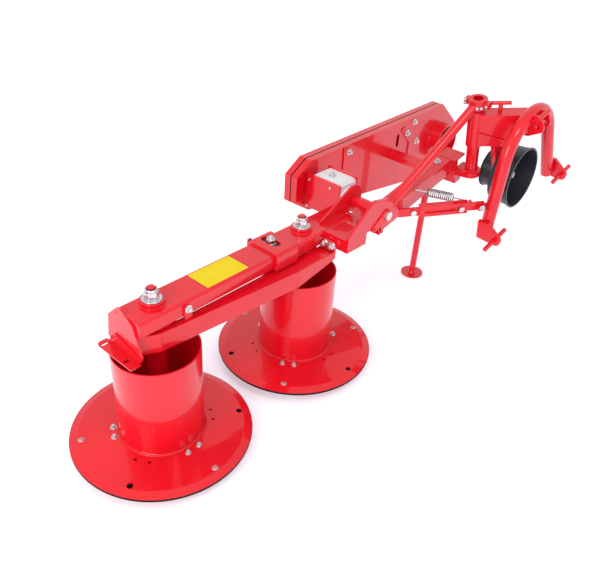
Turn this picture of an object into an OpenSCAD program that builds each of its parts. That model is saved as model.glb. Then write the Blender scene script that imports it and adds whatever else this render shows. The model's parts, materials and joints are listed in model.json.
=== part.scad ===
// Rear-mounted rotary drum mower with two cutting drums, parked on its sliding dishes and its stand.
// Lengths in millimetres. +X runs out along the cutter bar, +Y points forward to the tractor, +Z is up.
// The bar frame has its origin on the ground midway between the drum axes.
// The arm frame has its origin on the fold hinge axis and is pitched with the parked arm.

/* [Cutting drums] */
// Diameter of each knife plate
plate_d = 730; // [680:5:740]
// Distance between the two drum axes
drum_spacing = 794; // [780:1:810]
// Height of the knife plate's lower edge above the ground
rim_h = 58; // [54:1:64]
// Outside diameter of a drum
drum_d = 340; // [320:2:356]
// Height of a drum above its plate
drum_h = 404; // [360:2:408]
// Wall of a drum
drum_wall = 6; // [3:1:8]
// Diameter of the sliding dish under each drum
dish_d = 600; // [540:10:610]

/* [Cutter bar] */
// Width of the gear beam
beam_w = 145; // [138:1:150]
// Height of the gear beam
beam_h = 66; // [60:1:70]
// Height of the beam's top above the ground
beam_top = 686; // [680:1:692]
// Outer end of the beam from the middle of the bar
beam_out = 511; // [490:1:530]
// Height of the front guard tube
guard_tube_h = 80; // [70:1:84]
// Depth of the front guard tube at its inner bend
guard_tube_w = 82; // [70:1:90]

/* [Fold hinge] */
// Distance of the fold hinge axis inward from the middle of the bar
hinge_in = 725; // [718:1:735]
// Height of the fold hinge axis above the ground
hinge_h = 722; // [716:1:728]
// Diameter of the hinge pin
hinge_pin_d = 30; // [24:1:36]
// Outside diameter of the hinge sleeve on the arm
hinge_sleeve_d = 60; // [54:1:64]
// Front face of the forward hinge gusset
gusset_front = 211; // [208:1:216]

/* [Carrying arm] */
// Pitch of the parked arm, rising to the hitch
arm_pitch = 12; // [10:0.5:13]
// Side of the square arm tube
arm_side = 80; // [74:1:86]
// Wall of the arm tube
arm_wall = 6; // [4:1:10]
// Middle plane of the arm tube
arm_y = 142; // [138:1:146]
// Drop from the hinge axis to the arm's top face
arm_drop = 24; // [20:1:30]
// Length of the arm tube inward from the hinge axis
arm_len = 575; // [565:1:580]
// Distance of the swing pivot inward from the hinge axis
pivot_in = 631; // [626:1:640]
// Distance of the swing pivot forward of the bar's middle plane
pivot_y = 265; // [260:1:270]
// Diameter of the pivot tube
pivot_d = 60; // [50:1:64]

/* [Hitch frame] */
// Span between the middles of the two hitch pins
pin_span = 683; // [670:1:690]
// Height of the top-link hole above the hitch pins
mast_h = 450; // [440:1:460]
// Diameter of the hitch pins
pin_d = 22; // [20:1:28]
// Length of each hitch pin
pin_len = 186; // [160:2:200]
// Diameter of the top-link hole
top_hole_d = 19.4; // [19:0.1:26]
// Diameter of the arch tube
arch_d = 62; // [54:1:66]
// Distance of the hitch's middle plane inward from the hinge axis
hitch_in = 768; // [764:1:776]

/* [Belt drive] */
// Thickness of the belt guard from front to back
guard_t = 75; // [60:1:80]
// Distance of the driving pulley's axis inward from the middle of the bar
pulley_in = 1843; // [1830:1:1850]
// Diameter of the splined shaft ends
spline_d = 35; // [30:1:38]

/* [Parking stand] */
// Diameter of the stand's rod
stand_d = 36; // [30:1:40]
// Diameter of the stand's foot
foot_d = 126; // [110:2:140]

/* [Hidden] */
$fn = 64;

// Overrun of every cut past the face that it opens
over = 1;
// Radial gap of a shaft that turns or slides in its bore
run_gap = 0.05;
// Gap between faces that turn past each other
face_gap = 1;
// Gap between a turning face and the wall behind it
seat_gap = 0.5;

// Paint and finish colours
red = [0.83, 0.05, 0.07];
zinc = [0.78, 0.78, 0.8];
black = [0.09, 0.1, 0.12];
steel = [0.55, 0.56, 0.58];
alloy = [0.72, 0.73, 0.74];

// Knife plate: its band, thickness, holes and knives
plate_t = 6;
rim_band_w = 34;
rim_lip = 5;
rim_rise = 16;
plate_rise = 26;
knife_circle_share = 0.87;
knife_count = 3;
access_hole_d = 25;
foot_hole_d = 12;
foot_hole_circle_share = 1.2;
foot_hole_half_angle = 8;
outer_turn = 90;
inner_turn = 34;
knife_l = 104;
knife_w = 42;
knife_t = 4;
knife_pin_d = 16;
knife_head_d = 28;
knife_head_t = 5;
knife_fold = 14;
weld_leg = 7;

// Drum hub, its shaft and the fixed spindle tube
hub_d = 124;
hub_t = 36;
shaft_d = 44;
shaft_up = 150;
spindle_d = 80;
spindle_flange_d = 150;
spindle_flange_t = 5;
spindle_clear = 12;

// Sliding dish
dish_pin_d = 36;
dish_hub_d = 90;
dish_t = 5;
dish_depth = 36;
dish_floor_share = 0.55;
dish_rise_share = 0.8;
dish_rise_height_share = 0.4;

plate_r = plate_d / 2;
drum_r = drum_d / 2;
drum_x = drum_spacing / 2;
plate_top = rim_h + plate_rise;
drum_top = plate_top + drum_h;
foot_r = drum_r + weld_leg;
band_r = plate_r - rim_band_w;
band_z = rim_h + rim_rise;
knife_r = plate_r * knife_circle_share;
knife_z = rim_h - rim_lip - knife_t;
hub_z = plate_top - plate_t;
spindle_z = hub_z + hub_t + spindle_clear;
dish_r = dish_d / 2;

// Height of the knife plate's top face at a radius between its foot and its band
function plate_z(r) = plate_top + (r - foot_r) / (band_r - foot_r) * (band_z - plate_top);

// Gear beam with its saddle and nuts
beam_corner = 9;
beam_shift = 7.5;
nut_af = 50;
nut_h = 28;
nut_collar_d = 46;
nut_collar_h = 12;
nut_stud_d = 30;
nut_stud_h = 7;
nut_washer_d = 76;
nut_washer_t = 6;
nut_boss_d = 92;
nut_boss_t = 16;
saddle_out = 148;
saddle_in = 274;
saddle_side = 14;
saddle_top = 10;
saddle_cut = 12;
saddle_window_l = 96;
saddle_window_w = 44;
saddle_nut_af = 36;
saddle_nut_h = 24;
saddle_nut_x = -213;
saddle_nut_y = -5;

// Outer end plate and the slotted bracket on it
end_plate_t = 8;
end_hole_y = -39;
end_hole_drop = 4;
end_hole_d = 9;
flap_t = 6;
flap_y0 = -128;
flap_y1 = 82;
flap_reach = 46;
flap_round = 18;
flap_z = 520;
flap_slot_l = 28;
flap_slot_w = 13;
flap_slot_y0 = -105;
flap_slot_y1 = 30;
// Outline of the end plate in Y and Z, measured from the beam's top
end_outline = [
    [-97, -38], [-40, 17], [-19, 24], [47, -21], [69, -86], [85, -139], [83, -156],
    [46, -190], [-40, -190], [-113, -141]
];
// Outline of the bracket's upright leg in Y and Z, measured from its foot
flap_outline = [[-111, 0], [-60, 62], [58, 32], [80, 10], [75, 0]];

// Front guard tube
tube_top = 610;
tube_out_x = 428;
tube_out_y = 85;
tube_out_w = 24;
tube_bend_x = -228;
tube_bend_y = 146;
tube_end_y0 = 6;
tube_end_y1 = 44;
tube_slice = 4;
tube_tip_y0 = 70;
tube_tip_y1 = 150;
tube_tip_drop = 36;
tube_tip_top = 614;
tube_flange_t = 10;
tube_flange_top = 662;
tube_lug_x = 306;
tube_lug_w = 34;
tube_lug_t = 8;
tube_lug_z = 658;

// Hinge base, gussets, pin and gearbox
beam_in = 661;
base_out = 460;
base_l = 130;
base_drop = 58;
gusset_t = 11;
gusset_back = 20;
gusset_eye_r = 62;
gusset_eye_up = 20;
gusset_eye_out = 12;
gusset_peak_r = 22;
gusset_peak_up = 78;
gusset_peak_out = 95;
gusset_foot_back = 35;
washer_d = 58;
washer_t = 6;
pin_head_d = 46;
pin_head_t = 18;
keeper_l = 96;
keeper_lean = 25;
keeper_r = 15;
keeper_hole_d = 13;
gearbox_h = 168;
gearbox_y0 = -180;
gearbox_y1 = -12;
gearbox_cap_d = 112;
gearbox_cap_l = 12;
gearbox_plate_t = 10;
gearbox_plate_over = 7;
near_plate_back = 30;
near_plate_low = 14;
gearbox_corner = 14;
pulley_boss_d = 88;
pulley_boss_l = 62;

// Arm, hinge sleeve, cross channel, stay and collar
web_t = 14;
web_top_back = 42;
web_top_front = 190;
web_waist = 96;
web_waist_z = -46;
web_foot_back = 66;
web_foot_front = 194;
sleeve_end_gap = 2;
channel_w = 90;
channel_wall = 9;
channel_web = 28;
channel_deep = 26;
channel_y1 = 205;
carry_near = 588;
carry_back = 640;
carry_h = 33;
pivot_plate_t = 27;
pivot_plate_r = 46;
stay_d = 44;
stay_foot_in = 85;
stay_foot_y = 160;
collar_d = 86;
collar_h = 40;
collar_ear_l = 20;
collar_ear_w = 34;
collar_ear_h = 26;
pivot_over = 59;

// Hitch frame
arch_wall = 6;
arch_y = 470;
arch_top_r = 222;
arch_splay = 17;
arch_over = 40;
lug_t = 18;
lug_r = 30;
lug_fwd = 68;
lug_back = 26;
lug_up = 78;
lug_down = 20;
pin_seat_d = 28;
pins_z = -265;
mast_sleeve_d = 78;
mast_z0 = 63;
mast_over = 20;
mast_wall = 8;
mast_w = 74;
mast_inset = 10;
mast_level_share = 0.55;
mast_front_share = 0.5;
clevis_gap = 52;
clevis_t = 12;
clevis_fwd = 55;
clevis_r = 28;
clevis_back = 14;
clevis_bar_d = 24;
clevis_bar_l = 100;
clevis_bar_fwd = 78;
clevis_bar_up = 44;
lock_pin_d = 20;
lock_pin_up = 44;
lock_bar_l = 92;
lock_bar_d = 18;
lock_at_share = 0.42;

// Shaft support and its two guards
pto_z = -130;
pto_in = 772;
cup_d = 300;
cup_wall = 4;
cup_rim = 5;
cup_len = 109;
cup_taper_share = 0.95;
small_cup_d = 184;
small_cup_len = 54;
hanger_y = 342;
hanger_t = 22;
hanger_head_w = 70;
hanger_head_h = 16;
hanger_head_in = 693;
bearing_d = 116;
shaft_fwd = 62;
shaft_back = 44;
spline_count = 6;
spline_depth = 3;
spline_w = 8;

// Belt guard
guard_front = -215;
guard_seam = 4;
guard_seam_depth = 3;
guard_wall = 7;
guard_out = 598;
guard_out_half = 128;
guard_out_flat = 66;
guard_out_cut = 96;
guard_in_reach = 172;
guard_in_half = 215;
guard_in_flat = 78;
guard_hole_gap = 8;
pulley_h = 661;
strap_t = 6;
guard_slot_l = 74;
guard_slot_w = 24;
guard_slot_at = [-1411, 766];
// Outlines in X and Z of the two straps on the guard's front
strap_outlines = [
    [[-933, 848], [-985, 838], [-1000, 700], [-937, 700]],
    [[-1432, 818], [-1456, 834], [-1525, 796], [-1632, 726], [-1646, 604], [-1519, 612], [-1523, 729]]
];
ring_d = 214;
ring_wall = 5;
ring_l = 64;
pulley_hub_d = 120;
pulley_hub_t = 16;

// Breakaway link, its bracket, tongue, lug and spring
link_in = 197;
link_y = 218;
link_z = -95;
link_far_in = 466;
link_far_y = 420;
link_far_z = -134;
link_h = 58;
link_w = 30;
link_start = 30;
link_wall = 6;
link_slot_start_share = 0.16;
link_slot_end_share = 0.74;
link_slot_w = 21;
link_end_share = 0.8;
link_bolt_d = 18;
link_bolt_head_d = 30;
link_bolt_head_t = 11;
link_bolt_share = 0.7;
bracket_t = 10;
bracket_h = 44;
bracket_back = 100;
bracket_fwd = 72;
tongue_h = 42;
tongue_t = 12;
tongue_start_share = 0.62;
tongue_fwd = 15;
jaw_gap = 2.5;
ear_t = 10;
ear_gap = 1;
ear_r = 22;
ear_h = 36;
ear_reach = 50;
lug_pin_over = 8;
stud_share = 0.9;
stud_d = 12;
stud_l = 42;
stud_hook = 32;
spring_hook_in = 272;
spring_hook_drop = 6;
spring_start_share = 0.22;
spring_end_share = 0.66;
spring_d = 44;
spring_wire = 7;
spring_gap = 0.3;
spring_turns = 9;
spring_steps = 12;
spring_sides = 6;

// Parking stand
stand_off = 60;
stand_y = -8;
stand_sleeve_d = 52;
stand_sleeve_h = 105;
stand_sleeve_drop = 52;
stand_above = 12;
stand_hole_d = 13;
stand_hole_z = 150;
foot_t = 9;
foot_neck_d = 54;
foot_neck_h = 16;
stand_tab_t = 14;
stand_tab_h = 62;

// Places that follow from the sizes above
beam_bottom = beam_top - beam_h;
beam_mid = beam_top - beam_h / 2;
beam_y0 = beam_shift - beam_w / 2;
beam_y1 = beam_shift + beam_w / 2;
hinge_x = -hinge_in;
gearbox_w = 2 * (hinge_in - beam_in - gearbox_plate_t);
arm_z1 = -arm_drop;
arm_z0 = arm_z1 - arm_side;
arm_y0 = arm_y - arm_side / 2;
arm_y1 = arm_y + arm_side / 2;
pivot_x = -pivot_in;
hitch_x = -hitch_in;
pto_x = -pto_in;
pin_y = arch_y + lug_fwd;
arch_apex = pins_z + mast_h + arch_over;
mast_z1 = arch_apex + mast_over;
pivot_top = mast_z1 + pivot_over;
base_in = base_out + base_l;
gusset_foot_out = base_out + gusset_foot_back;
// Foot of the cross channel, and the bar under it that carries the belt guard and the stand's sleeve
channel_z0 = arm_z0 - channel_deep;
channel_in = arm_len + channel_w;
carry_z0 = channel_z0 - carry_h;
carry_mid = channel_z0 - carry_h / 2;
stand_x = hinge_x - carry_back * cos(arm_pitch) + carry_mid * sin(arm_pitch) - stand_off;
stand_sleeve_z = hinge_h + carry_back * sin(arm_pitch) + carry_mid * cos(arm_pitch) - stand_sleeve_drop;
sleeve_y0 = gusset_back + gusset_t + sleeve_end_gap;
sleeve_y1 = gusset_front - gusset_t - sleeve_end_gap;
arch_z0 = arch_apex - arch_top_r;
leg_top_x = arch_top_r * cos(arch_splay);
leg_top_z = arch_z0 + arch_top_r * sin(arch_splay);
leg_foot_x = leg_top_x + (leg_top_z - pins_z) * tan(arch_splay);
mast_yaw = atan2(arch_y - pivot_y, hitch_x - pivot_x);
mast_l = norm([arch_y - pivot_y, hitch_x - pivot_x]);
top_hole_y = arch_y + clevis_fwd;
top_hole_z = pins_z + mast_h;
clevis_bar_y = arch_y + clevis_bar_fwd - clevis_bar_d;
clevis_bar_z = top_hole_z + clevis_bar_up;
guard_in_x = -pulley_in - guard_in_reach;
half_t = (guard_t - guard_seam) / 2;
guard_back = guard_front - guard_t;
link_a = [-link_in, link_y, link_z];
link_b = [-link_far_in, link_far_y, link_far_z];
link_l = norm(link_b - link_a);
link_dir = (link_b - link_a) / link_l;
link_side = [-link_dir.y, link_dir.x, 0] / norm([link_dir.x, link_dir.y]);
link_face = -link_w / 2 + link_wall;
stay_a = [-stay_foot_in, stay_foot_y, arm_z1];
stay_b = [pivot_x, pivot_y, pivot_top - collar_h / 2];
spring_near = [-spring_hook_in, arm_y1, arm_z1 - spring_hook_drop];
spring_far = link_a + link_dir * link_l * stud_share + link_side * (link_face + tongue_t + stud_hook);
spring_a = spring_near + (spring_far - spring_near) * spring_start_share;
spring_b = spring_near + (spring_far - spring_near) * spring_end_share;
spring_l = norm(spring_b - spring_a);
spring_r = (spring_d - spring_wire) / 2;
spring_rings = spring_turns * spring_steps;

// The whole part's box, which puts the origin under its middle on the ground
box_x1 = drum_x + plate_r;
box_x0 = guard_in_x;
box_y1 = pin_y + lug_r;
box_y0 = -plate_r;
origin = [(box_x0 + box_x1) / 2, (box_y0 + box_y1) / 2, 0];

module placed() {
    translate(-origin) children();
}

module in_arm() {
    placed() translate([hinge_x, 0, hinge_h]) rotate([0, arm_pitch, 0]) children();
}

// Turns +Z onto the line from a to b, with the start at a
module along(a, b) {
    d = b - a;
    translate(a) rotate([0, acos(d.z / norm(d)), atan2(d.y, d.x)]) children();
}

// Round bar between two points
module rod(a, b, d) {
    along(a, b) cylinder(h = norm(b - a), d = d);
}

// Round bar along Y
module rod_y(x, z, y0, y1, d) {
    translate([x, y0, z]) rotate([-90, 0, 0]) cylinder(h = y1 - y0, d = d);
}

// Outline in X and Z, made a plate between two places on Y
module across_y(y0, y1) {
    translate([0, y1, 0]) rotate([90, 0, 0]) linear_extrude(y1 - y0) children();
}

// Outline in Y and Z, made a plate between two places on X
module across_x(x0, x1) {
    translate([x0, 0, 0]) rotate([90, 0, 90]) linear_extrude(x1 - x0) children();
}

module block(lo, hi) {
    translate(lo) cube(hi - lo);
}

// Rectangle with its corners cut at 45 degrees
module cut_corners(w, h, c) {
    polygon([
        [-w / 2 + c, -h / 2], [w / 2 - c, -h / 2], [w / 2, -h / 2 + c], [w / 2, h / 2 - c],
        [w / 2 - c, h / 2], [-w / 2 + c, h / 2], [-w / 2, h / 2 - c], [-w / 2, -h / 2 + c]
    ]);
}

// Slot outline along X
module slot(l, w) {
    for (side = [-1, 1]) translate([side * (l - w) / 2, 0]) circle(d = w);
    square([l - w, w], center = true);
}

// Hitch frame, which the tractor carries

module arch_solid(d) {
    translate([hitch_x, arch_y, arch_z0]) rotate([90, 0, 0]) rotate([0, 0, arch_splay])
        rotate_extrude(angle = 180 - 2 * arch_splay) translate([arch_top_r, 0]) circle(d = d);
    for (side = [-1, 1])
        rod([hitch_x + side * leg_top_x, arch_y, leg_top_z],
            [hitch_x + side * leg_foot_x, arch_y, pins_z], d);
}

module hitch_arch() color(red) in_arm() difference() {
    arch_solid(arch_d);
    arch_solid(arch_d - 2 * arch_wall);
}

module hitch_lugs() color(red) in_arm() for (side = [-1, 1]) difference() {
    across_x(hitch_x + side * pin_span / 2 - lug_t / 2, hitch_x + side * pin_span / 2 + lug_t / 2) hull() {
        translate([pin_y, pins_z]) circle(r = lug_r, $fn = 32);
        translate([arch_y - lug_back, pins_z - lug_down]) square([2 * lug_back, lug_down + lug_up]);
    }
    arch_solid(arch_d);
    translate([hitch_x + side * pin_span / 2 - lug_t, pin_y, pins_z]) rotate([0, 90, 0])
        cylinder(h = 2 * lug_t, d = pin_seat_d);
}

// Hitch pins, each with a thicker seat where it is welded into its lug
module hitch_pins() color(red) in_arm() for (side = [-1, 1])
    translate([hitch_x + side * pin_span / 2, pin_y, pins_z]) rotate([0, 90, 0]) {
        translate([0, 0, -pin_len / 2]) cylinder(h = pin_len, d = pin_d);
        translate([0, 0, -lug_t / 2]) cylinder(h = lug_t, d = pin_seat_d);
    }

// Turns +X from the pivot towards the arch
module along_mast() {
    translate([pivot_x, pivot_y, 0]) rotate([0, 0, mast_yaw]) children();
}

// Side view of the mast's box from the pivot to the arch, drawn smaller all round by a wall
module mast_side(inset) {
    low = mast_z0 + mast_inset;
    high = mast_z1 - mast_inset;
    front = low + (high - low) * mast_front_share;
    polygon([
        [0, low - inset], [mast_l * mast_level_share, low - inset], [mast_l - inset, front - inset],
        [mast_l - inset, high - inset], [0, high - inset]
    ]);
}

module clevis_plate(side) {
    at = hitch_x + side * (clevis_gap + clevis_t) / 2;
    across_x(at - clevis_t / 2, at + clevis_t / 2) hull() {
        translate([top_hole_y, top_hole_z]) circle(r = clevis_r, $fn = 32);
        translate([clevis_bar_y, clevis_bar_z]) circle(d = clevis_bar_d, $fn = 32);
        translate([arch_y - clevis_back, mast_z1 - mast_inset - clevis_r]) square(clevis_r);
        translate([arch_y - clevis_back, top_hole_z - 2 * clevis_r]) square(clevis_r);
    }
}

module mast_head() color(red) in_arm() difference() {
    union() {
        translate([pivot_x, pivot_y, mast_z0]) cylinder(h = mast_z1 - mast_z0, d = mast_sleeve_d);
        along_mast() difference() {
            across_y(-mast_w / 2, mast_w / 2) mast_side(0);
            across_y(-mast_w / 2 + mast_wall, mast_w / 2 - mast_wall) mast_side(mast_wall);
        }
        clevis_plate(-1);
        clevis_plate(1);
        translate([hitch_x - clevis_bar_l / 2, clevis_bar_y, clevis_bar_z]) rotate([0, 90, 0])
            cylinder(h = clevis_bar_l, d = clevis_bar_d);
    }
    translate([pivot_x, pivot_y, mast_z0 - over])
        cylinder(h = mast_z1 - mast_z0 + 2 * over, d = pivot_d + 2 * run_gap);
    arch_solid(arch_d);
    translate([hitch_x - clevis_bar_l, top_hole_y, top_hole_z]) rotate([0, 90, 0])
        cylinder(h = 2 * clevis_bar_l, d = top_hole_d);
}

module lock_pin() color(red) in_arm() along_mast()
    translate([mast_l * lock_at_share, 0, mast_z1 - mast_inset]) {
        cylinder(h = lock_pin_up, d = lock_pin_d);
        translate([-lock_bar_l / 2, 0, lock_pin_up]) rotate([0, 90, 0])
            cylinder(h = lock_bar_l, d = lock_bar_d);
    }

// Shaft support under the mast with its two guards

module splined(l) {
    difference() {
        cylinder(h = l, d = spline_d);
        for (i = [0 : spline_count - 1]) rotate([0, 0, i * 360 / spline_count])
            translate([spline_d / 2 - spline_depth, -spline_w / 2, -over])
                cube([2 * spline_depth, spline_w, l + 2 * over]);
    }
}

module pto_hanger() color(red) in_arm() difference() {
    across_y(hanger_y, hanger_y + hanger_t) hull() {
        translate([pto_x, pto_z]) circle(d = bearing_d, $fn = 32);
        translate([-hanger_head_in - hanger_head_w / 2, mast_z0 + mast_inset - hanger_head_h])
            square([hanger_head_w, hanger_head_h]);
    }
    rod_y(pto_x, pto_z, hanger_y - over, hanger_y + hanger_t + over, spline_d + 2 * run_gap);
}

module pto_shaft() color(steel) in_arm() translate([pto_x, hanger_y, pto_z]) {
    rotate([-90, 0, 0]) cylinder(h = hanger_t, d = spline_d);
    rotate([90, 0, 0]) splined(shaft_back);
    translate([0, hanger_t, 0]) rotate([-90, 0, 0]) splined(shaft_fwd);
}

// Half section of a cup with its floor at zero and a beaded rim
module cup_section(d, l) {
    hole = spline_d / 2 + guard_hole_gap;
    r = d / 2;
    polygon([
        [hole, 0], [r * cup_taper_share, 0], [r, l - cup_rim], [r + cup_rim, l - cup_rim], [r + cup_rim, l],
        [r - cup_wall, l], [r * cup_taper_share - cup_wall, cup_wall], [hole, cup_wall]
    ]);
}

module pto_guard_front() color(black) in_arm() translate([pto_x, hanger_y + hanger_t, pto_z])
    rotate([-90, 0, 0]) rotate_extrude() cup_section(cup_d, cup_len);

module pto_guard_rear() color(black) in_arm() translate([pto_x, hanger_y, pto_z])
    rotate([90, 0, 0]) rotate_extrude() cup_section(small_cup_d, small_cup_len);

// Carrying arm with its pivot tube, cross channel and stay

module pivot_tube() color(red) in_arm() translate([pivot_x, pivot_y, arm_z0 + pivot_plate_t]) difference() {
    cylinder(h = pivot_top - arm_z0 - pivot_plate_t, d = pivot_d);
    translate([0, 0, arm_wall]) cylinder(h = pivot_top - arm_z0, d = pivot_d - 2 * arm_wall);
}

module arm_tube() color(red) in_arm() difference() {
    block([-arm_len, arm_y0, arm_z0], [0, arm_y1, arm_z1]);
    block([-arm_len - over, arm_y0 + arm_wall, arm_z0 + arm_wall],
        [-hinge_sleeve_d, arm_y1 - arm_wall, arm_z1 - arm_wall]);
    rod_y(0, 0, 0, gusset_front, hinge_sleeve_d);
}

// Sleeve round the hinge pin, with a waisted web down the arm's outer end
module hinge_sleeve() color(red) in_arm() difference() {
    union() {
        rod_y(0, 0, sleeve_y0, sleeve_y1, hinge_sleeve_d);
        across_x(0, web_t) polygon([
            [web_foot_back, arm_z0], [web_foot_front, arm_z0], [arm_y + web_waist / 2, web_waist_z],
            [web_top_front, 0], [web_top_back, 0], [arm_y - web_waist / 2, web_waist_z]
        ]);
    }
    rod_y(0, 0, sleeve_y0 - over, sleeve_y1 + over, hinge_pin_d + 2 * run_gap);
}

// Channel across the arm's end with the pivot's foot in front, and the carrying bar under it
module cross_channel() color(red) in_arm() {
    difference() {
        block([-channel_in, arm_y0, channel_z0], [-arm_len, channel_y1, arm_z1]);
        block([-channel_in - over, arm_y0 - over, channel_z0 + channel_wall],
            [-arm_len - channel_web, channel_y1 + over, arm_z1 - channel_wall]);
    }
    block([-carry_back, guard_front, carry_z0], [-carry_near, channel_y1, channel_z0]);
    translate([0, 0, arm_z0]) linear_extrude(pivot_plate_t) hull() {
        translate([pivot_x, pivot_y]) circle(r = pivot_plate_r, $fn = 48);
        translate([-channel_in, channel_y1 - channel_wall]) square([channel_w, channel_wall]);
    }
}

module stay_tube() color(red) in_arm() difference() {
    rod(stay_a + (stay_a - stay_b) * stay_d / norm(stay_b - stay_a), stay_b, stay_d);
    block([-arm_len, 0, arm_z0 - stay_d], [stay_d, gusset_front, arm_z1]);
    translate([pivot_x, pivot_y, 0]) cylinder(h = 2 * pivot_top, d = collar_d);
}

module stay_collar() color(red) in_arm()
    translate([pivot_x, pivot_y, pivot_top - collar_h - face_gap]) difference() {
        union() {
            cylinder(h = collar_h, d = collar_d);
            for (side = [-1, 1]) rotate([0, 0, side * 90])
                translate([0, -collar_ear_w / 2, (collar_h - collar_ear_h) / 2])
                    cube([collar_d / 2 + collar_ear_l, collar_ear_w, collar_ear_h]);
        }
        translate([0, 0, -over]) cylinder(h = collar_h + 2 * over, d = pivot_d);
    }

// Belt drive guard in two pressed halves

module guard_outline(inset) {
    offset(delta = -inset) polygon([
        [-guard_out, hinge_h + guard_out_flat], [-guard_out - guard_out_cut, hinge_h + guard_out_half],
        [-pulley_in, pulley_h + guard_in_half], [guard_in_x, pulley_h + guard_in_flat],
        [guard_in_x, pulley_h - guard_in_flat], [-pulley_in, pulley_h - guard_in_half],
        [-guard_out - guard_out_cut, hinge_h - guard_out_half], [-guard_out, hinge_h - guard_out_flat]
    ]);
}

module belt_guard_front() color(red) placed() difference() {
    union() {
        across_y(guard_front - half_t, guard_front) guard_outline(0);
        across_y(guard_front, guard_front + strap_t) for (outline = strap_outlines) polygon(outline);
    }
    across_y(guard_front - half_t - over, guard_front - guard_wall) guard_outline(guard_wall);
    rod_y(-pulley_in, pulley_h, guard_front - half_t, guard_front + over, ring_d - 2 * ring_wall);
    rod_y(hinge_x, hinge_h, guard_front - half_t, guard_front + over, pulley_boss_d + 2 * guard_hole_gap);
    across_y(guard_front - half_t, guard_front + over) translate(guard_slot_at) rotate(90)
        slot(guard_slot_l, guard_slot_w);
}

module belt_guard_back() color(red) placed() difference() {
    union() {
        across_y(guard_back, guard_back + half_t) guard_outline(0);
        across_y(guard_back, guard_back + half_t + guard_seam) guard_outline(guard_seam_depth);
    }
    across_y(guard_back + guard_wall, guard_front) guard_outline(guard_wall);
}

module guard_collar() color(red) placed() difference() {
    rod_y(-pulley_in, pulley_h, guard_front, guard_front + ring_l, ring_d);
    rod_y(-pulley_in, pulley_h, guard_front - over, guard_front + ring_l + over, ring_d - 2 * ring_wall);
}

module pulley_shaft() color(steel) placed()
    translate([-pulley_in, guard_back + guard_wall + seat_gap, pulley_h]) rotate([-90, 0, 0]) union() {
        cylinder(h = pulley_hub_t, d = pulley_hub_d);
        translate([0, 0, pulley_hub_t]) splined(guard_t - guard_wall - pulley_hub_t + ring_l);
    }

// Breakaway link between the arm and the near leg, with its spring

module link_frame() {
    translate(link_a) rotate([0, 0, atan2(link_dir.y, link_dir.x)]) rotate([0, -asin(link_dir.z), 0])
        children();
}

// Round bar across the link at a place along it, between two distances from its middle plane
module link_cross(x, y0, y1, d, sides = $fn) {
    link_frame() translate([x, y0, 0]) rotate([-90, 0, 0]) cylinder(h = y1 - y0, d = d, $fn = sides);
}

// Upright tab on the arm's front face, inside the slotted link
module link_bracket() color(red) in_arm() difference() {
    link_frame() translate([-bracket_back, link_face, -bracket_h / 2])
        cube([bracket_back + bracket_fwd, bracket_t, bracket_h]);
    block([-arm_len, arm_y0 - bracket_back, arm_z0 - bracket_h], [0, arm_y1, arm_z1 + bracket_h]);
    link_cross(0, link_face - over, link_face + bracket_t + over, link_bolt_d);
}

module cross_bolt(x, y0, y1) {
    link_cross(x, y0, y1, link_bolt_d);
    link_cross(x, y0 - link_bolt_head_t, y0, link_bolt_head_d, 6);
    link_cross(x, y1, y1 + link_bolt_head_t, link_bolt_head_d, 6);
}

// Pivot bolt of the link and clamp bolt of its tongue
module link_bolt() color(zinc) in_arm() {
    cross_bolt(0, link_face, link_face + bracket_t);
    cross_bolt(link_l * link_bolt_share, -link_w / 2, link_face + tongue_t);
}

module slotted_link() color(red) in_arm() link_frame() difference() {
    translate([link_start, -link_w / 2, -link_h / 2])
        cube([link_l * link_end_share - link_start, link_w, link_h]);
    translate([0, link_face, -link_h / 2 + link_wall])
        cube([link_l, link_w, link_h - 2 * link_wall]);
    across_y(-link_w, 0) translate([link_l * (link_slot_start_share + link_slot_end_share) / 2, 0])
        slot(link_l * (link_slot_end_share - link_slot_start_share), link_slot_w);
}

// Bar that slides in the slotted link, with an open jaw round the lug's pin and a stud for the spring
module link_tongue() color(red) in_arm() {
    difference() {
        link_frame() translate([link_l * tongue_start_share, link_face, -tongue_h / 2])
            cube([link_l * (1 - tongue_start_share) + tongue_fwd, tongue_t, tongue_h]);
        link_cross(link_l, -link_w, link_w, link_bolt_d + 2 * jaw_gap);
        link_frame() translate([link_l, -link_w, -link_bolt_d / 2 - jaw_gap])
            cube([2 * tongue_fwd, 2 * link_w, link_bolt_d + 2 * jaw_gap]);
        link_cross(link_l * link_bolt_share, -link_w, link_w, link_bolt_d);
    }
    link_cross(link_l * stud_share, link_face + tongue_t, link_face + tongue_t + stud_l, stud_d);
}

// Plate on the near leg with the pin that the tongue's jaw grips
module link_lug() color(red) in_arm() {
    back = link_face - ear_gap;
    difference() {
        link_frame() translate([link_l, 0, 0]) across_y(back - ear_t, back) {
            circle(r = ear_r);
            translate([0, -ear_h / 2]) square([ear_reach, ear_h]);
        }
        arch_solid(arch_d);
    }
    link_cross(link_l, back - ear_t - lug_pin_over, link_face + tongue_t + lug_pin_over, link_bolt_d);
}

// One ring of the wire's outline round a point of the helix
function wire_ring(i) = let (t = i / spring_rings, turn = 360 * spring_turns * t) [
    for (k = [0 : spring_sides - 1])
        let (a = 360 * k / spring_sides, r = spring_r + spring_wire / 2 * cos(a))
        [r * cos(turn), r * sin(turn), spring_l * t + spring_wire / 2 * sin(a)]
];

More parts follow.
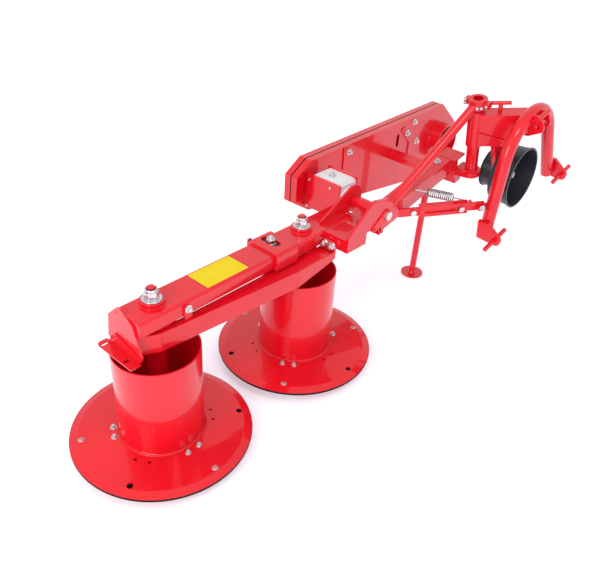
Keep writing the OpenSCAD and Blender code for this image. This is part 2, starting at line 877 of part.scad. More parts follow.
module link_spring() color(zinc) in_arm() along(spring_a, spring_b) {
    points = [for (i = [0 : spring_rings]) each wire_ring(i)];
    sides = [for (i = [0 : spring_rings - 1], k = [0 : spring_sides - 1])
        let (n = (k + 1) % spring_sides, at = i * spring_sides, next = at + spring_sides)
            [at + k, at + n, next + n, next + k]];
    first = [for (k = [spring_sides - 1 : -1 : 0]) k];
    last = [for (k = [0 : spring_sides - 1]) spring_rings * spring_sides + k];
    polyhedron(points, concat(sides, [first, last]));
}

// Straight wires from the coil's ends to the arm and to the tongue's stud
module spring_hooks() color(zinc) in_arm() difference() {
    along(spring_a, spring_b) {
        reach = spring_wire + spring_gap;
        near_l = norm(spring_a - spring_near) + spring_d;
        far_l = norm(spring_far - spring_b);
        rod([0, 0, -near_l], [0, 0, -reach], spring_wire);
        rod([-spring_wire / 2, 0, -reach], [spring_d / 2, 0, -reach], spring_wire);
        rod([-spring_wire / 2, 0, spring_l + reach], [spring_d / 2, 0, spring_l + reach], spring_wire);
        rod([0, 0, spring_l + reach], [0, 0, spring_l + far_l], spring_wire);
    }
    block([-arm_len, arm_y0 - spring_d, arm_z0], [0, arm_y1, arm_z1 + spring_d]);
    link_cross(link_l * stud_share, link_face + tongue_t, link_face + tongue_t + stud_l, stud_d);
}

// Parking stand in its sleeve

module stand_sleeve() color(red) difference() {
    placed() translate([stand_x, stand_y, stand_sleeve_z]) {
        cylinder(h = stand_sleeve_h, d = stand_sleeve_d);
        translate([0, -stand_tab_t / 2, (stand_sleeve_h - stand_tab_h) / 2])
            cube([2 * stand_off, stand_tab_t, stand_tab_h]);
    }
    in_arm() block([-carry_back, guard_front, carry_z0 - channel_w], [0, channel_y1, arm_z1 + channel_w]);
    placed() translate([stand_x, stand_y, stand_sleeve_z - over])
        cylinder(h = stand_sleeve_h + 2 * over, d = stand_d + 2 * run_gap);
}

module stand() color(red) placed() translate([stand_x, stand_y, 0]) difference() {
    union() {
        cylinder(h = foot_t, d = foot_d);
        translate([0, 0, foot_t]) cylinder(h = foot_neck_h, d1 = foot_neck_d, d2 = stand_d);
        cylinder(h = stand_sleeve_z + stand_sleeve_h + stand_above, d = stand_d);
    }
    rod_y(0, stand_hole_z, -stand_d, stand_d, stand_hole_d);
}

// Cutter bar

module beam_section() {
    translate([beam_shift, beam_mid]) cut_corners(beam_w, beam_h, beam_corner);
}

module beam_case() color(red) placed() {
    across_x(-beam_in, beam_out) beam_section();
    for (side = [-1, 1]) translate([side * drum_x, 0, beam_top]) cylinder(h = nut_boss_t, d = nut_boss_d);
}

// Strap over the beam with cheeks down both sides and a window round its nut
module beam_saddle() color(red) placed() difference() {
    across_x(-saddle_in, -saddle_out) polygon([
        [beam_y0 - saddle_side, beam_bottom], [beam_y1 + saddle_side, beam_bottom],
        [beam_y1 + saddle_side, beam_top + saddle_top - saddle_cut],
        [beam_y1 + saddle_side - saddle_cut, beam_top + saddle_top],
        [beam_y0 - saddle_side + saddle_cut, beam_top + saddle_top],
        [beam_y0 - saddle_side, beam_top + saddle_top - saddle_cut]
    ]);
    across_x(-saddle_in - over, -saddle_out + over) beam_section();
    block([-saddle_in - over, beam_y0, beam_bottom - over],
        [-saddle_out + over, beam_y1, beam_bottom + beam_corner]);
    translate([saddle_nut_x, saddle_nut_y, beam_top - over]) rotate([0, 0, 90])
        linear_extrude(saddle_top + 2 * over) slot(saddle_window_l, saddle_window_w);
}

// Lock nut with its flange, collar and stud end
module cap_nut() {
    cylinder(h = nut_washer_t, d = nut_washer_d);
    cylinder(h = nut_washer_t + nut_h, d = nut_af * 2 / sqrt(3), $fn = 6);
    cylinder(h = nut_washer_t + nut_h + nut_collar_h, d = nut_collar_d);
    cylinder(h = nut_washer_t + nut_h + nut_collar_h + nut_stud_h, d = nut_stud_d);
}

module cap_nuts() color(zinc) placed() {
    for (side = [-1, 1]) translate([side * drum_x, 0, beam_top + nut_boss_t]) cap_nut();
    translate([saddle_nut_x, saddle_nut_y, beam_top])
        cylinder(h = saddle_nut_h, d = saddle_nut_af * 2 / sqrt(3), $fn = 6);
}

module end_plate() color(red) placed() difference() {
    across_x(beam_out, beam_out + end_plate_t) translate([0, beam_top]) polygon(end_outline);
    translate([beam_out - over, end_hole_y, beam_top - end_hole_drop]) rotate([0, 90, 0])
        cylinder(h = end_plate_t + 2 * over, d = end_hole_d);
}

// Angle iron on the end plate, with two slots across its level leg
module flap_bracket() color(red) placed() translate([beam_out + end_plate_t, 0, flap_z]) {
    across_x(0, flap_t) polygon(flap_outline);
    translate([0, 0, -flap_t]) linear_extrude(flap_t) difference() {
        union() {
            translate([0, flap_y0 + flap_round]) square([flap_reach, flap_y1 - flap_y0 - flap_round]);
            translate([0, flap_y0]) square([flap_reach - flap_round, flap_round]);
            translate([flap_reach - flap_round, flap_y0 + flap_round]) circle(r = flap_round);
        }
        for (y = [flap_slot_y0, flap_slot_y1]) translate([(flap_reach + flap_t) / 2, y])
            slot(flap_slot_l, flap_slot_w);
    }
}

// Slice of the guard tube's section at a place along it
module tube_section(x, y_front, z0, z1, w) {
    block([x, y_front - w, z0], [x + tube_slice, y_front, z1]);
}

module guard_tube() color(red) placed() {
    low = tube_top - guard_tube_h;
    tip_low = tube_tip_top - tube_tip_drop;
    hull() {
        tube_section(tube_bend_x, tube_bend_y, low, tube_top, guard_tube_w);
        tube_section(tube_out_x, tube_out_y, low, tube_top, tube_out_w);
    }
    hull() {
        tube_section(tube_out_x, tube_out_y, low, tube_top, tube_out_w);
        tube_section(beam_out - tube_slice, tube_end_y1, low, tube_top, tube_end_y1 - tube_end_y0);
    }
    hull() {
        tube_section(tube_bend_x, tube_bend_y, low, tube_top, guard_tube_w);
        tube_section(-base_out, tube_tip_y1, tip_low, tube_tip_top, tube_tip_y1 - tube_tip_y0);
    }
    block([-base_out, beam_y1, tip_low], [-base_out + tube_flange_t, tube_tip_y1, tube_flange_top]);
    across_y(beam_y1, beam_y1 + tube_lug_t) {
        translate([tube_lug_x, tube_lug_z]) circle(d = tube_lug_w);
        translate([tube_lug_x - tube_lug_w / 2, tube_top]) square([tube_lug_w, tube_lug_z - tube_top]);
    }
}

module base_block() {
    block([-base_in, beam_y1, beam_top - base_drop], [-base_out, gusset_front, beam_top]);
}

module hinge_base() color(red) placed() base_block();

module gusset_eye() {
    translate([hinge_x + gusset_eye_out, hinge_h + gusset_eye_up]) circle(r = gusset_eye_r, $fn = 48);
}

// Two upright plates that hold the hinge pin, one on the beam and one on its base
module hinge_gussets() color(red) placed() difference() {
    union() {
        across_y(gusset_back, gusset_back + gusset_t) hull() {
            gusset_eye();
            translate([-beam_in, beam_top]) square([beam_in - gusset_foot_out, gusset_t]);
        }
        across_y(gusset_front - gusset_t, gusset_front) hull() {
            gusset_eye();
            translate([hinge_x + gusset_peak_out, hinge_h + gusset_peak_up])
                circle(r = gusset_peak_r, $fn = 32);
            translate([-base_in, beam_top]) square([base_in - base_out, gusset_t]);
        }
    }
    rod_y(hinge_x, hinge_h, 0, gusset_front + over, hinge_pin_d);
    block([-beam_in, beam_y0, beam_bottom], [0, beam_y1, beam_top]);
    base_block();
}

// Hinge pin with a nut behind and a bored keeper plate in front
module hinge_pin() color(zinc) placed() {
    rod_y(hinge_x, hinge_h, gusset_back - pin_head_t, gusset_front + pin_head_t, hinge_pin_d);
    rod_y(hinge_x, hinge_h, gusset_back - washer_t, gusset_back, washer_d);
    translate([hinge_x, gusset_back - pin_head_t, hinge_h]) rotate([-90, 0, 0])
        cylinder(h = pin_head_t - washer_t, d = pin_head_d, $fn = 6);
    translate([hinge_x, gusset_front + washer_t, hinge_h]) rotate([-90, 0, 0])
        cylinder(h = pin_head_t - washer_t, d = pin_head_d, $fn = 6);
    translate([hinge_x, 0, hinge_h]) rotate([0, keeper_lean, 0]) difference() {
        across_y(gusset_front, gusset_front + washer_t) hull() {
            circle(d = washer_d, $fn = 32);
            translate([keeper_l, 0]) circle(r = keeper_r, $fn = 32);
        }
        rod_y(keeper_l, 0, gusset_front - over, gusset_front + washer_t + over, keeper_hole_d);
    }
}

module gearbox() color(alloy) placed() {
    translate([hinge_x - gearbox_w / 2, 0, 0]) across_x(0, gearbox_w)
        translate([(gearbox_y0 + gearbox_y1) / 2, hinge_h])
            cut_corners(gearbox_y1 - gearbox_y0, gearbox_h, gearbox_corner);
    rod_y(hinge_x, hinge_h, gearbox_y0 - pulley_boss_l, gearbox_y0, pulley_boss_d);
    rod_y(hinge_x, hinge_h, gearbox_y1, gearbox_y1 + gearbox_cap_l, gearbox_cap_d);
}

// Plates on the gearbox's sides, the near one longer and lower than the far one
module gearbox_plates() color(red) placed() {
    low = hinge_h - gearbox_h / 2 - gearbox_plate_over;
    high = hinge_h + gearbox_h / 2 + gearbox_plate_over;
    near = hinge_x + gearbox_w / 2;
    far = hinge_x - gearbox_w / 2;
    block([near, gearbox_y0 - near_plate_back, low],
        [near + gearbox_plate_t, gearbox_y1, high - near_plate_low]);
    block([far - gearbox_plate_t, gearbox_y0, low], [far, gearbox_y1, high]);
}

// Cutting drums

module at_drum(side) {
    placed() translate([side * drum_x, 0, 0]) rotate([0, 0, side > 0 ? outer_turn : inner_turn]) children();
}

module spindle(side) at_drum(side) rotate_extrude() polygon([
    [shaft_d / 2 + run_gap, spindle_z], [spindle_d / 2, spindle_z],
    [spindle_d / 2, beam_bottom - spindle_flange_t], [spindle_flange_d / 2, beam_bottom - spindle_flange_t],
    [spindle_flange_d / 2, beam_bottom], [0, beam_bottom],
    [0, spindle_z + shaft_up], [shaft_d / 2 + run_gap, spindle_z + shaft_up]
]);

module plate(side) at_drum(side) difference() {
    rotate_extrude() polygon([
        [plate_r, rim_h], [plate_r, rim_h + rim_lip], [band_r, band_z], [foot_r, plate_top],
        [hub_d / 2, plate_top], [hub_d / 2, hub_z], [foot_r, hub_z], [band_r, band_z - plate_t],
        [plate_r - plate_t, rim_h]
    ]);
    for (i = [0 : knife_count - 1]) rotate([0, 0, i * 360 / knife_count]) {
        translate([knife_r, 0, 0]) cylinder(h = drum_top, d = knife_pin_d);
        rotate([0, 0, 180 / knife_count]) translate([knife_r, 0, 0])
            cylinder(h = drum_top, d = access_hole_d);
        for (side_turn = [-1, 1]) rotate([0, 0, 180 / knife_count + side_turn * foot_hole_half_angle])
            translate([drum_r * foot_hole_circle_share, 0, 0]) cylinder(h = drum_top, d = foot_hole_d);
    }
}

module drum(side) at_drum(side) rotate_extrude() polygon([
    [drum_r - drum_wall, plate_top], [foot_r, plate_top], [drum_r, plate_top + weld_leg], [drum_r, drum_top],
    [drum_r - drum_wall, drum_top]
]);

module hub(side) at_drum(side) union() {
    translate([0, 0, hub_z]) cylinder(h = hub_t, d = hub_d);
    translate([0, 0, hub_z + hub_t]) cylinder(h = spindle_clear + shaft_up - face_gap, d = shaft_d);
    translate([0, 0, 2 * dish_t + face_gap]) cylinder(h = hub_z - 2 * dish_t - face_gap, d = dish_pin_d);
}

module knife() {
    linear_extrude(knife_t) hull() {
        circle(d = knife_w, $fn = 32);
        translate([0, knife_l - knife_w]) square([knife_w, knife_w / 2], center = true);
    }
}

module knives(side) at_drum(side) for (i = [0 : knife_count - 1])
    rotate([0, 0, i * 360 / knife_count]) translate([knife_r, 0, 0]) {
        head_z = plate_z(knife_r - knife_head_d / 2);
        translate([0, 0, knife_z]) rotate([0, 0, side * knife_fold]) knife();
        translate([0, 0, knife_z - knife_head_t]) cylinder(h = knife_head_t, d = knife_head_d);
        translate([0, 0, knife_z]) cylinder(h = head_z - knife_z, d = knife_pin_d);
        translate([0, 0, head_z]) cylinder(h = knife_head_t, d1 = knife_head_d, d2 = knife_pin_d);
    }

module dish(side) at_drum(side) rotate_extrude() polygon([
    [0, 0], [dish_r * dish_floor_share, 0], [dish_r * dish_rise_share, dish_depth * dish_rise_height_share],
    [dish_r, dish_depth - dish_t], [dish_r, dish_depth],
    [dish_r * dish_rise_share - dish_t, dish_depth * dish_rise_height_share + dish_t],
    [dish_r * dish_floor_share, dish_t], [dish_hub_d / 2, dish_t], [dish_hub_d / 2, hub_z - face_gap],
    [dish_pin_d / 2 + run_gap, hub_z - face_gap], [dish_pin_d / 2 + run_gap, 2 * dish_t], [0, 2 * dish_t]
]);

module spindle_outer() color(red) spindle(1);
module spindle_inner() color(red) spindle(-1);
module plate_outer() color(red) plate(1);
module plate_inner() color(red) plate(-1);
module drum_outer() color(red) drum(1);
module drum_inner() color(red) drum(-1);
module hub_outer() color(steel) hub(1);
module hub_inner() color(steel) hub(-1);
module knives_outer() color(steel) knives(1);
module knives_inner() color(steel) knives(-1);
module dish_outer() color(black) dish(1);
module dish_inner() color(black) dish(-1);

hitch_arch();
hitch_lugs();
hitch_pins();
mast_head();
lock_pin();
link_lug();
pto_hanger();
pto_shaft();
pto_guard_front();
pto_guard_rear();
pivot_tube();
arm_tube();
hinge_sleeve();
cross_channel();
stay_tube();
stay_collar();
belt_guard_front();
belt_guard_back();
guard_collar();
pulley_shaft();
link_bracket();
link_bolt();
slotted_link();
link_tongue();
link_spring();
spring_hooks();
stand_sleeve();
stand();
beam_case();
beam_saddle();
cap_nuts();
end_plate();
flap_bracket();
guard_tube();
hinge_base();
hinge_gussets();
hinge_pin();
gearbox();
gearbox_plates();
spindle_outer();
spindle_inner();
plate_outer();
drum_outer();
hub_outer();
knives_outer();
dish_outer();
plate_inner();
drum_inner();
hub_inner();
knives_inner();
dish_inner();
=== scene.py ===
# %% [markdown]
# # A rotary drum mower
# The mower hangs behind a tractor and is parked here on its two sliding dishes and its stand.
# The solids come from the CAD model, so this lesson only adds what a workshop adds last:
# the nuts and bolts, the welds, a few thin plates, the paint and the light.

# %% Load the frame
import json
import math

import bpy
from mathutils import Matrix, Vector


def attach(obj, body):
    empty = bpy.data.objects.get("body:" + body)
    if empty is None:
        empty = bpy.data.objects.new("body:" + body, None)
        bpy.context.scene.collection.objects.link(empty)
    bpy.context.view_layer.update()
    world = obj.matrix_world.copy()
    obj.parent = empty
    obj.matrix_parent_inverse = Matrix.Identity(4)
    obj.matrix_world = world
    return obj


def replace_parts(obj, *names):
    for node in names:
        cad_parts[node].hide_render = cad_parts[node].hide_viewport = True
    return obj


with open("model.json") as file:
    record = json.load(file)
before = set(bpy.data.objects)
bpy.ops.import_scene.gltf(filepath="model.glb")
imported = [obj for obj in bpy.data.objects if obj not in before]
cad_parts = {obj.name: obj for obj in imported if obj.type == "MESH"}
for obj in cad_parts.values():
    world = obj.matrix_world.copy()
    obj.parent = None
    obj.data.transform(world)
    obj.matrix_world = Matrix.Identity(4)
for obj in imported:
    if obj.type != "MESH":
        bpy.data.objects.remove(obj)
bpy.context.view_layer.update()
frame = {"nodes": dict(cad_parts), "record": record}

# %% [markdown]
# ## Two frames
# The cutter bar is measured from the ground midway between the drums.
# The arm, the hitch and the link are measured from the fold hinge, in a frame that leans with the parked arm.
# Both helpers take millimetres and give metres in the CAD frame.

# %% Places on the bar and on the arm
MM = 0.001
MIDDLE = Vector((-626.5, 101.5, 0.0))
HINGE = Vector((-725.0, 0.0, 722.0))
ARM_PITCH = math.radians(12)
ARM_TURN = Matrix.Rotation(ARM_PITCH, 3, "Y")


def on_bar(x, y, z):
    return (Vector((x, y, z)) - MIDDLE) * MM


def on_arm(x, y, z):
    return (ARM_TURN @ Vector((x, y, z)) + HINGE - MIDDLE) * MM


print("hinge axis at", tuple(round(v, 4) for v in on_arm(0, 0, 0)))

# %% [markdown]
# ## Camera
# The photograph looks down from the front corner of the bar, with a little roll.
# The camera's matrix is built from that azimuth, elevation and roll, so nothing has to be aimed by eye.

# %% Camera
CAMERA_AT = on_bar(1512.6, 1616.1, 2064.2)
CAMERA_AZIMUTH = math.radians(39.6289)
CAMERA_ELEVATION = math.radians(33.8089)
CAMERA_ROLL = math.radians(3.9645)
FOCAL_PX = 657.28
IMAGE_W = 607
SENSOR_W = 36.0
FAR_CLIP = 400

back = Vector((
    math.cos(CAMERA_AZIMUTH) * math.cos(CAMERA_ELEVATION),
    math.sin(CAMERA_AZIMUTH) * math.cos(CAMERA_ELEVATION),
    math.sin(CAMERA_ELEVATION),
))
level_right = (-back).cross(Vector((0, 0, 1))).normalized()
level_up = level_right.cross(-back)
right = level_right * math.cos(CAMERA_ROLL) + level_up * math.sin(CAMERA_ROLL)
up = level_up * math.cos(CAMERA_ROLL) - level_right * math.sin(CAMERA_ROLL)

camera_data = bpy.data.cameras.new("photo_camera")
camera_data.sensor_fit = "HORIZONTAL"
camera_data.sensor_width = SENSOR_W
camera_data.lens = FOCAL_PX * SENSOR_W / IMAGE_W
camera_data.clip_end = FAR_CLIP
camera = bpy.data.objects.new("photo_camera", camera_data)
bpy.context.scene.collection.objects.link(camera)
turn = Matrix((right, up, back)).transposed().to_4x4()
camera.matrix_world = Matrix.Translation(CAMERA_AT) @ turn
bpy.context.scene.camera = camera
print("lens", round(camera_data.lens, 2), "mm at", tuple(round(v, 3) for v in CAMERA_AT))

# %% [markdown]
# ## Shader maths
# A finish is a small graph of nodes.
# Wrapping each socket in a class lets the graph be written as sums and products.

# %% Finish builder


class Tone:
    """A number socket, so that maths on it reads as Python."""

    def __init__(self, finish, socket):
        self.finish = finish
        self.socket = socket

    def math(self, operation, first, second):
        return self.finish.node("ShaderNodeMath", {"operation": operation}, {0: first, 1: second})

    def __add__(self, other):
        return self.math("ADD", self, other)

    def __rsub__(self, other):
        return self.math("SUBTRACT", other, self)

    def __mul__(self, other):
        return self.math("MULTIPLY", self, other)

    def above(self, edge):
        return self.math("GREATER_THAN", self, edge)

    def below(self, edge):
        return self.math("LESS_THAN", self, edge)


class Finish:
    """One material: makes nodes, links them and sets the shader's own sockets."""

    def __init__(self, name):
        self.material = bpy.data.materials.new(name)
        self.material.use_nodes = True
        self.tree = self.material.node_tree
        self.tree.nodes.clear()
        self.shader = self.tree.nodes.new("ShaderNodeBsdfPrincipled")
        out = self.tree.nodes.new("ShaderNodeOutputMaterial")
        self.tree.links.new(self.shader.outputs["BSDF"], out.inputs["Surface"])
        self.place = self.node("ShaderNodeTexCoord", {}, {}, "Object")

    def feed(self, socket, value):
        if isinstance(value, Tone):
            self.tree.links.new(value.socket, socket)
        else:
            socket.default_value = value

    def node(self, kind, settings, inputs, output=0):
        made = self.tree.nodes.new(kind)
        for key, value in settings.items():
            setattr(made, key, value)
        for key, value in inputs.items():
            self.feed(made.inputs[key], value)
        return Tone(self, made.outputs[output])

    def noise(self, scale, detail=3.0, rough=0.5, stretch=None):
        place = self.place
        if stretch:
            place = self.node("ShaderNodeMapping", {}, {"Vector": place, "Scale": stretch})
        inputs = {"Vector": place, "Scale": scale, "Detail": detail, "Roughness": rough}
        return self.node("ShaderNodeTexNoise", {}, inputs, "Fac")

    def along(self, axis):
        return self.node("ShaderNodeSeparateXYZ", {}, {"Vector": self.place}, axis)

    def mix(self, share, first, second):
        return self.node(
            "ShaderNodeMix", {"data_type": "RGBA"}, {"Factor": share, 6: first, 7: second}, 2)

    def span(self, value, low, high, to_low=0.0, to_high=1.0):
        inputs = {"Value": value, "From Min": low, "From Max": high, "To Min": to_low, "To Max": to_high}
        return self.node("ShaderNodeMapRange", {}, inputs)

    def bump(self, height, strength, distance):
        inputs = {"Height": height, "Strength": strength, "Distance": distance}
        return self.node("ShaderNodeBump", {}, inputs)

    def set(self, **sockets):
        for name, value in sockets.items():
            self.feed(self.shader.inputs[name.replace("_", " ")], value)
        return self.material


def rgba(red, green, blue):
    return (red, green, blue, 1.0)


# %% [markdown]
# ## Red paint
# The frame is sprayed in a high gloss red that mirrors the pale floor. Sprayed paint is never flat:
# it has a fine orange peel, its shade wanders a little over each panel, and dust dulls it in patches.
# The coat layer carries the mirror, so the colour below it can stay rough and deep.

# %% Red paint
RED_DEEP = rgba(0.63, 0.0008, 0.010)
RED_BRIGHT = rgba(0.76, 0.0020, 0.013)
GLOSS = {"Coat_Weight": 0.66, "Coat_Roughness": 0.035, "Specular_IOR_Level": 0.25}


def sprayed_red(name):
    paint = Finish(name)
    drift = paint.noise(2.6, 4.0)
    dust = paint.noise(17.0, 5.0, 0.62)
    peel = paint.noise(420.0, 2.0)
    shade = paint.mix(paint.span(drift, 0.3, 0.7), RED_DEEP, RED_BRIGHT)
    dulled = paint.span(dust, 0.35, 0.75, 0.30, 0.42)
    return paint, shade, dulled, paint.bump(peel, 0.05, 0.0008)


def finish_red():
    paint, shade, dulled, skin = sprayed_red("red_paint")
    return paint.set(Base_Color=shade, Roughness=dulled, Normal=skin, **GLOSS)


red_paint = finish_red()

# %% [markdown]
# The belt guard is two red pressings with a black rubber strip in the groove between them.
# One finish does both: a mask on the front-to-back coordinate turns the groove's floor black.

# %% Guard paint with its black seam
SEAM_LOW = (-256.0 - MIDDLE.y) * MM
SEAM_HIGH = (-249.0 - MIDDLE.y) * MM
SEAM_BLACK = rgba(0.012, 0.012, 0.014)
SEAM_COAT_LOSS, SEAM_ROUGHER = 0.6, 0.3


def finish_guard():
    paint, shade, dulled, skin = sprayed_red("guard_paint")
    place = paint.along("Y")
    strip = place.above(SEAM_LOW) * place.below(SEAM_HIGH)
    colour = paint.mix(strip, shade, SEAM_BLACK)
    gloss = dict(GLOSS, Coat_Weight=GLOSS["Coat_Weight"] - strip * SEAM_COAT_LOSS)
    return paint.set(Base_Color=colour, Roughness=dulled + strip * SEAM_ROUGHER, Normal=skin, **gloss)


guard_paint = finish_guard()

# %% [markdown]
# The knife plates are sprayed the same red, and the upright lip round the rim is coloured near black as
# painted shade, standing for the dark shadow gap under the rim.
# The mask is the height here, because the lip is the lowest ring of the plate.

# %% Plate paint with painted shade on its lip
LIP_TOP = 63.4 * MM
# The lip's near black is painted shade, for the shadow gap under the plate's rim.
LIP_PAINTED_SHADE = rgba(0.006, 0.003, 0.004)
LIP_COAT_LOSS, LIP_ROUGHER = 0.65, 0.3


def finish_plate():
    paint, shade, dulled, skin = sprayed_red("plate_paint_lip_shade")
    lip = paint.along("Z").below(LIP_TOP)
    # Painted shade: the lip below LIP_TOP is coloured near black and loses most of its coat.
    colour = paint.mix(lip, shade, LIP_PAINTED_SHADE)
    gloss = dict(GLOSS, Coat_Weight=GLOSS["Coat_Weight"] - lip * LIP_COAT_LOSS)
    return paint.set(Base_Color=colour, Roughness=dulled + lip * LIP_ROUGHER, Normal=skin, **gloss)


plate_paint_lip_shade = finish_plate()

# %% [markdown]
# ## Metals and plastic
# Zinc plate is bright with a faint cloudy grain, turned steel has fine rings of tool marks,
# and the shaft guards are moulded plastic with a grain that scatters the light.

# %% Zinc, steel, alloy, black paint, plastic, rubber and yellow foil
ZINC_DULL, ZINC_BRIGHT = rgba(0.56, 0.57, 0.60), rgba(0.80, 0.81, 0.82)
STEEL_DARK, STEEL_PALE = rgba(0.30, 0.30, 0.31), rgba(0.50, 0.50, 0.51)
WORN_RED = rgba(0.62, 0.16, 0.15)


def finish_zinc():
    zinc = Finish("zinc_plate")
    cloud = zinc.noise(60.0, 4.0)
    grain = zinc.noise(900.0, 2.0)
    colour = zinc.mix(cloud, ZINC_DULL, ZINC_BRIGHT)
    return zinc.set(Base_Color=colour, Metallic=1.0, Roughness=zinc.span(cloud, 0.3, 0.7, 0.2, 0.36),
                    Normal=zinc.bump(grain, 0.08, 0.0004))


KEEPER_BACK = (205.0 - MIDDLE.y) * MM
KEEPER_FRONT = (217.3 - MIDDLE.y) * MM


def finish_keeper():
    """The hinge pin is zinc plated, but the keeper plate welded to it was sprayed red."""
    pin = Finish("keeper_plate")
    cloud = pin.noise(60.0, 4.0)
    place = pin.along("Y")
    painted = place.above(KEEPER_BACK) * place.below(KEEPER_FRONT)
    metal = pin.mix(cloud, ZINC_DULL, ZINC_BRIGHT)
    colour = pin.mix(painted, metal, RED_BRIGHT)
    return pin.set(Base_Color=colour, Metallic=1.0 - painted,
                   Roughness=pin.span(cloud, 0.3, 0.7, 0.22, 0.36),
                   Normal=pin.bump(pin.noise(600.0, 2.0), 0.06, 0.0004))


PIN_HEAD_LOW = 70.0 * MM


def finish_knives():
    """Knives are bare steel, and the heads of their pins show worn red above the plate."""
    knife = Finish("knife_steel")
    stain = knife.noise(22.0, 4.0)
    worn = knife.noise(260.0, 3.0)
    head = knife.along("Z").above(PIN_HEAD_LOW)
    metal = knife.mix(stain, STEEL_DARK, STEEL_PALE)
    colour = knife.mix(head * knife.span(worn, 0.35, 0.65, 0.35, 0.8), metal, WORN_RED)
    return knife.set(Base_Color=colour, Metallic=1.0 - head * 0.6,
                     Roughness=knife.span(stain, 0.3, 0.7, 0.3, 0.48),
                     Normal=knife.bump(worn, 0.08, 0.0004))


def finish_steel():
    steel = Finish("bare_steel")
    marks = steel.noise(180.0, 3.0, 0.5, (1.0, 1.0, 6.0))
    stain = steel.noise(22.0, 4.0)
    colour = steel.mix(stain, STEEL_DARK, STEEL_PALE)
    return steel.set(Base_Color=colour, Metallic=1.0, Roughness=steel.span(stain, 0.3, 0.7, 0.3, 0.48),
                     Normal=steel.bump(marks, 0.1, 0.0004))


def finish_alloy():
    alloy = Finish("cast_alloy")
    sand = alloy.noise(320.0, 4.0, 0.65)
    cloud = alloy.noise(14.0, 3.0)
    colour = alloy.mix(cloud, rgba(0.74, 0.75, 0.78), rgba(0.86, 0.87, 0.89))
    return alloy.set(Base_Color=colour, Metallic=0.45, Roughness=alloy.span(cloud, 0.3, 0.7, 0.42, 0.58),
                     Normal=alloy.bump(sand, 0.3, 0.0010))


def finish_black_paint():
    paint = Finish("black_paint")
    scuff = paint.noise(30.0, 5.0, 0.65)
    peel = paint.noise(380.0, 2.0)
    colour = paint.mix(scuff, rgba(0.010, 0.010, 0.012), rgba(0.035, 0.034, 0.034))
    return paint.set(Base_Color=colour, Roughness=paint.span(scuff, 0.3, 0.7, 0.32, 0.55),
                     Normal=paint.bump(peel, 0.06, 0.0006), Coat_Weight=0.1)


def finish_plastic():
    plastic = Finish("black_plastic")
    grain = plastic.noise(700.0, 2.0)
    cloud = plastic.noise(9.0, 3.0)
    colour = plastic.mix(cloud, rgba(0.014, 0.017, 0.024), rgba(0.026, 0.030, 0.040))
    return plastic.set(Base_Color=colour, Roughness=plastic.span(cloud, 0.3, 0.7, 0.30, 0.42),
                       Normal=plastic.bump(grain, 0.12, 0.0004))


def finish_rubber_and_rim_shade():
    """Plugs are dull rubber, and the rim cords use the same dark finish as painted shade, so they mirror
    almost nothing.
    """
    rubber = Finish("black_rubber_and_rim_shade")
    cloud = rubber.noise(35.0, 3.0)
    colour = rubber.mix(cloud, rgba(0.004, 0.0025, 0.0025), rgba(0.010, 0.006, 0.006))
    return rubber.set(Base_Color=colour, Roughness=rubber.span(cloud, 0.3, 0.7, 0.7, 0.85),
                      Specular_IOR_Level=0.08,
                      Normal=rubber.bump(rubber.noise(500.0, 2.0), 0.1, 0.0004))


def finish_yellow():
    foil = Finish("yellow_foil")
    cloud = foil.noise(40.0, 3.0)
    colour = foil.mix(cloud, rgba(0.70, 0.54, 0.003), rgba(0.80, 0.62, 0.006))
    return foil.set(Base_Color=colour, Roughness=foil.span(cloud, 0.3, 0.7, 0.3, 0.4),
                    Specular_IOR_Level=0.15,
                    Normal=foil.bump(foil.noise(300.0), 0.03, 0.0004))


zinc_plate = finish_zinc()
bare_steel = finish_steel()
cast_alloy = finish_alloy()
black_paint = finish_black_paint()
black_plastic = finish_plastic()
black_rubber_and_rim_shade = finish_rubber_and_rim_shade()
yellow_foil = finish_yellow()

# %% [markdown]
# ## Dress the CAD nodes
# The record already says which slot each node has, so one loop gives every solid its finish.

# %% Finishes on the nodes
FINISHES = {
    "red_paint": red_paint,
    "zinc_plate": zinc_plate,
    "bare_steel": bare_steel,
    "cast_alloy": cast_alloy,
    "black_paint": black_paint,
    "black_plastic": black_plastic,
}


def dress(node, material):
    mesh = frame["nodes"][node].data
    mesh.materials.clear()
    mesh.materials.append(material)


for row in frame["record"]["subparts"]:
    dress(row["node"], FINISHES[row["material_slot"]])
for node in ("belt_guard_front", "belt_guard_back"):
    dress(node, guard_paint)
dress("hinge_pin", finish_keeper())
knife_steel = finish_knives()
for side in ("outer", "inner"):
    dress("plate_" + side, plate_paint_lip_shade)
    dress("knives_" + side, knife_steel)
print(len(frame["nodes"]), "nodes dressed")

# %% [markdown]
# ## Nuts and bolts
# A bolt head is a hexagon whose top corners are turned off, on a flat washer,
# with the shank's end standing proud.
# One helper models it by hand at the origin, and each copy is stood on its seat and turned to its axis.

# %% Bolt helper
# Shares of a bolt's width across flats
WASHER_R, WASHER_T = 0.86, 0.13
HEAD_H = 0.58
SHANK_R, SHANK_LOW, SHANK_HIGH = 0.27, 0.40, 0.86
WASHER_EDGE, HEAD_EDGE, SHANK_EDGE = 0.03, 0.06, 0.04

SHARP_EDGE = math.radians(40)
SMOOTH_BELOW = math.radians(35)


def alone(piece):
    bpy.ops.object.select_all(action="DESELECT")
    piece.select_set(True)
    bpy.context.view_layer.objects.active = piece


def lathe_step(radius, low, high, sides=32):
    bpy.ops.object.select_all(action="DESELECT")
    bpy.ops.mesh.primitive_cylinder_add(
        vertices=sides, radius=radius, depth=high - low, location=(0, 0, (low + high) / 2))
    return bpy.context.active_object


def round_top(piece, width, segments=2):
    bevel = piece.modifiers.new("edge", "BEVEL")
    bevel.width = width
    bevel.segments = segments
    bevel.limit_method = "ANGLE"
    bevel.angle_limit = SHARP_EDGE
    alone(piece)
    bpy.ops.object.modifier_apply(modifier=bevel.name)
    return piece


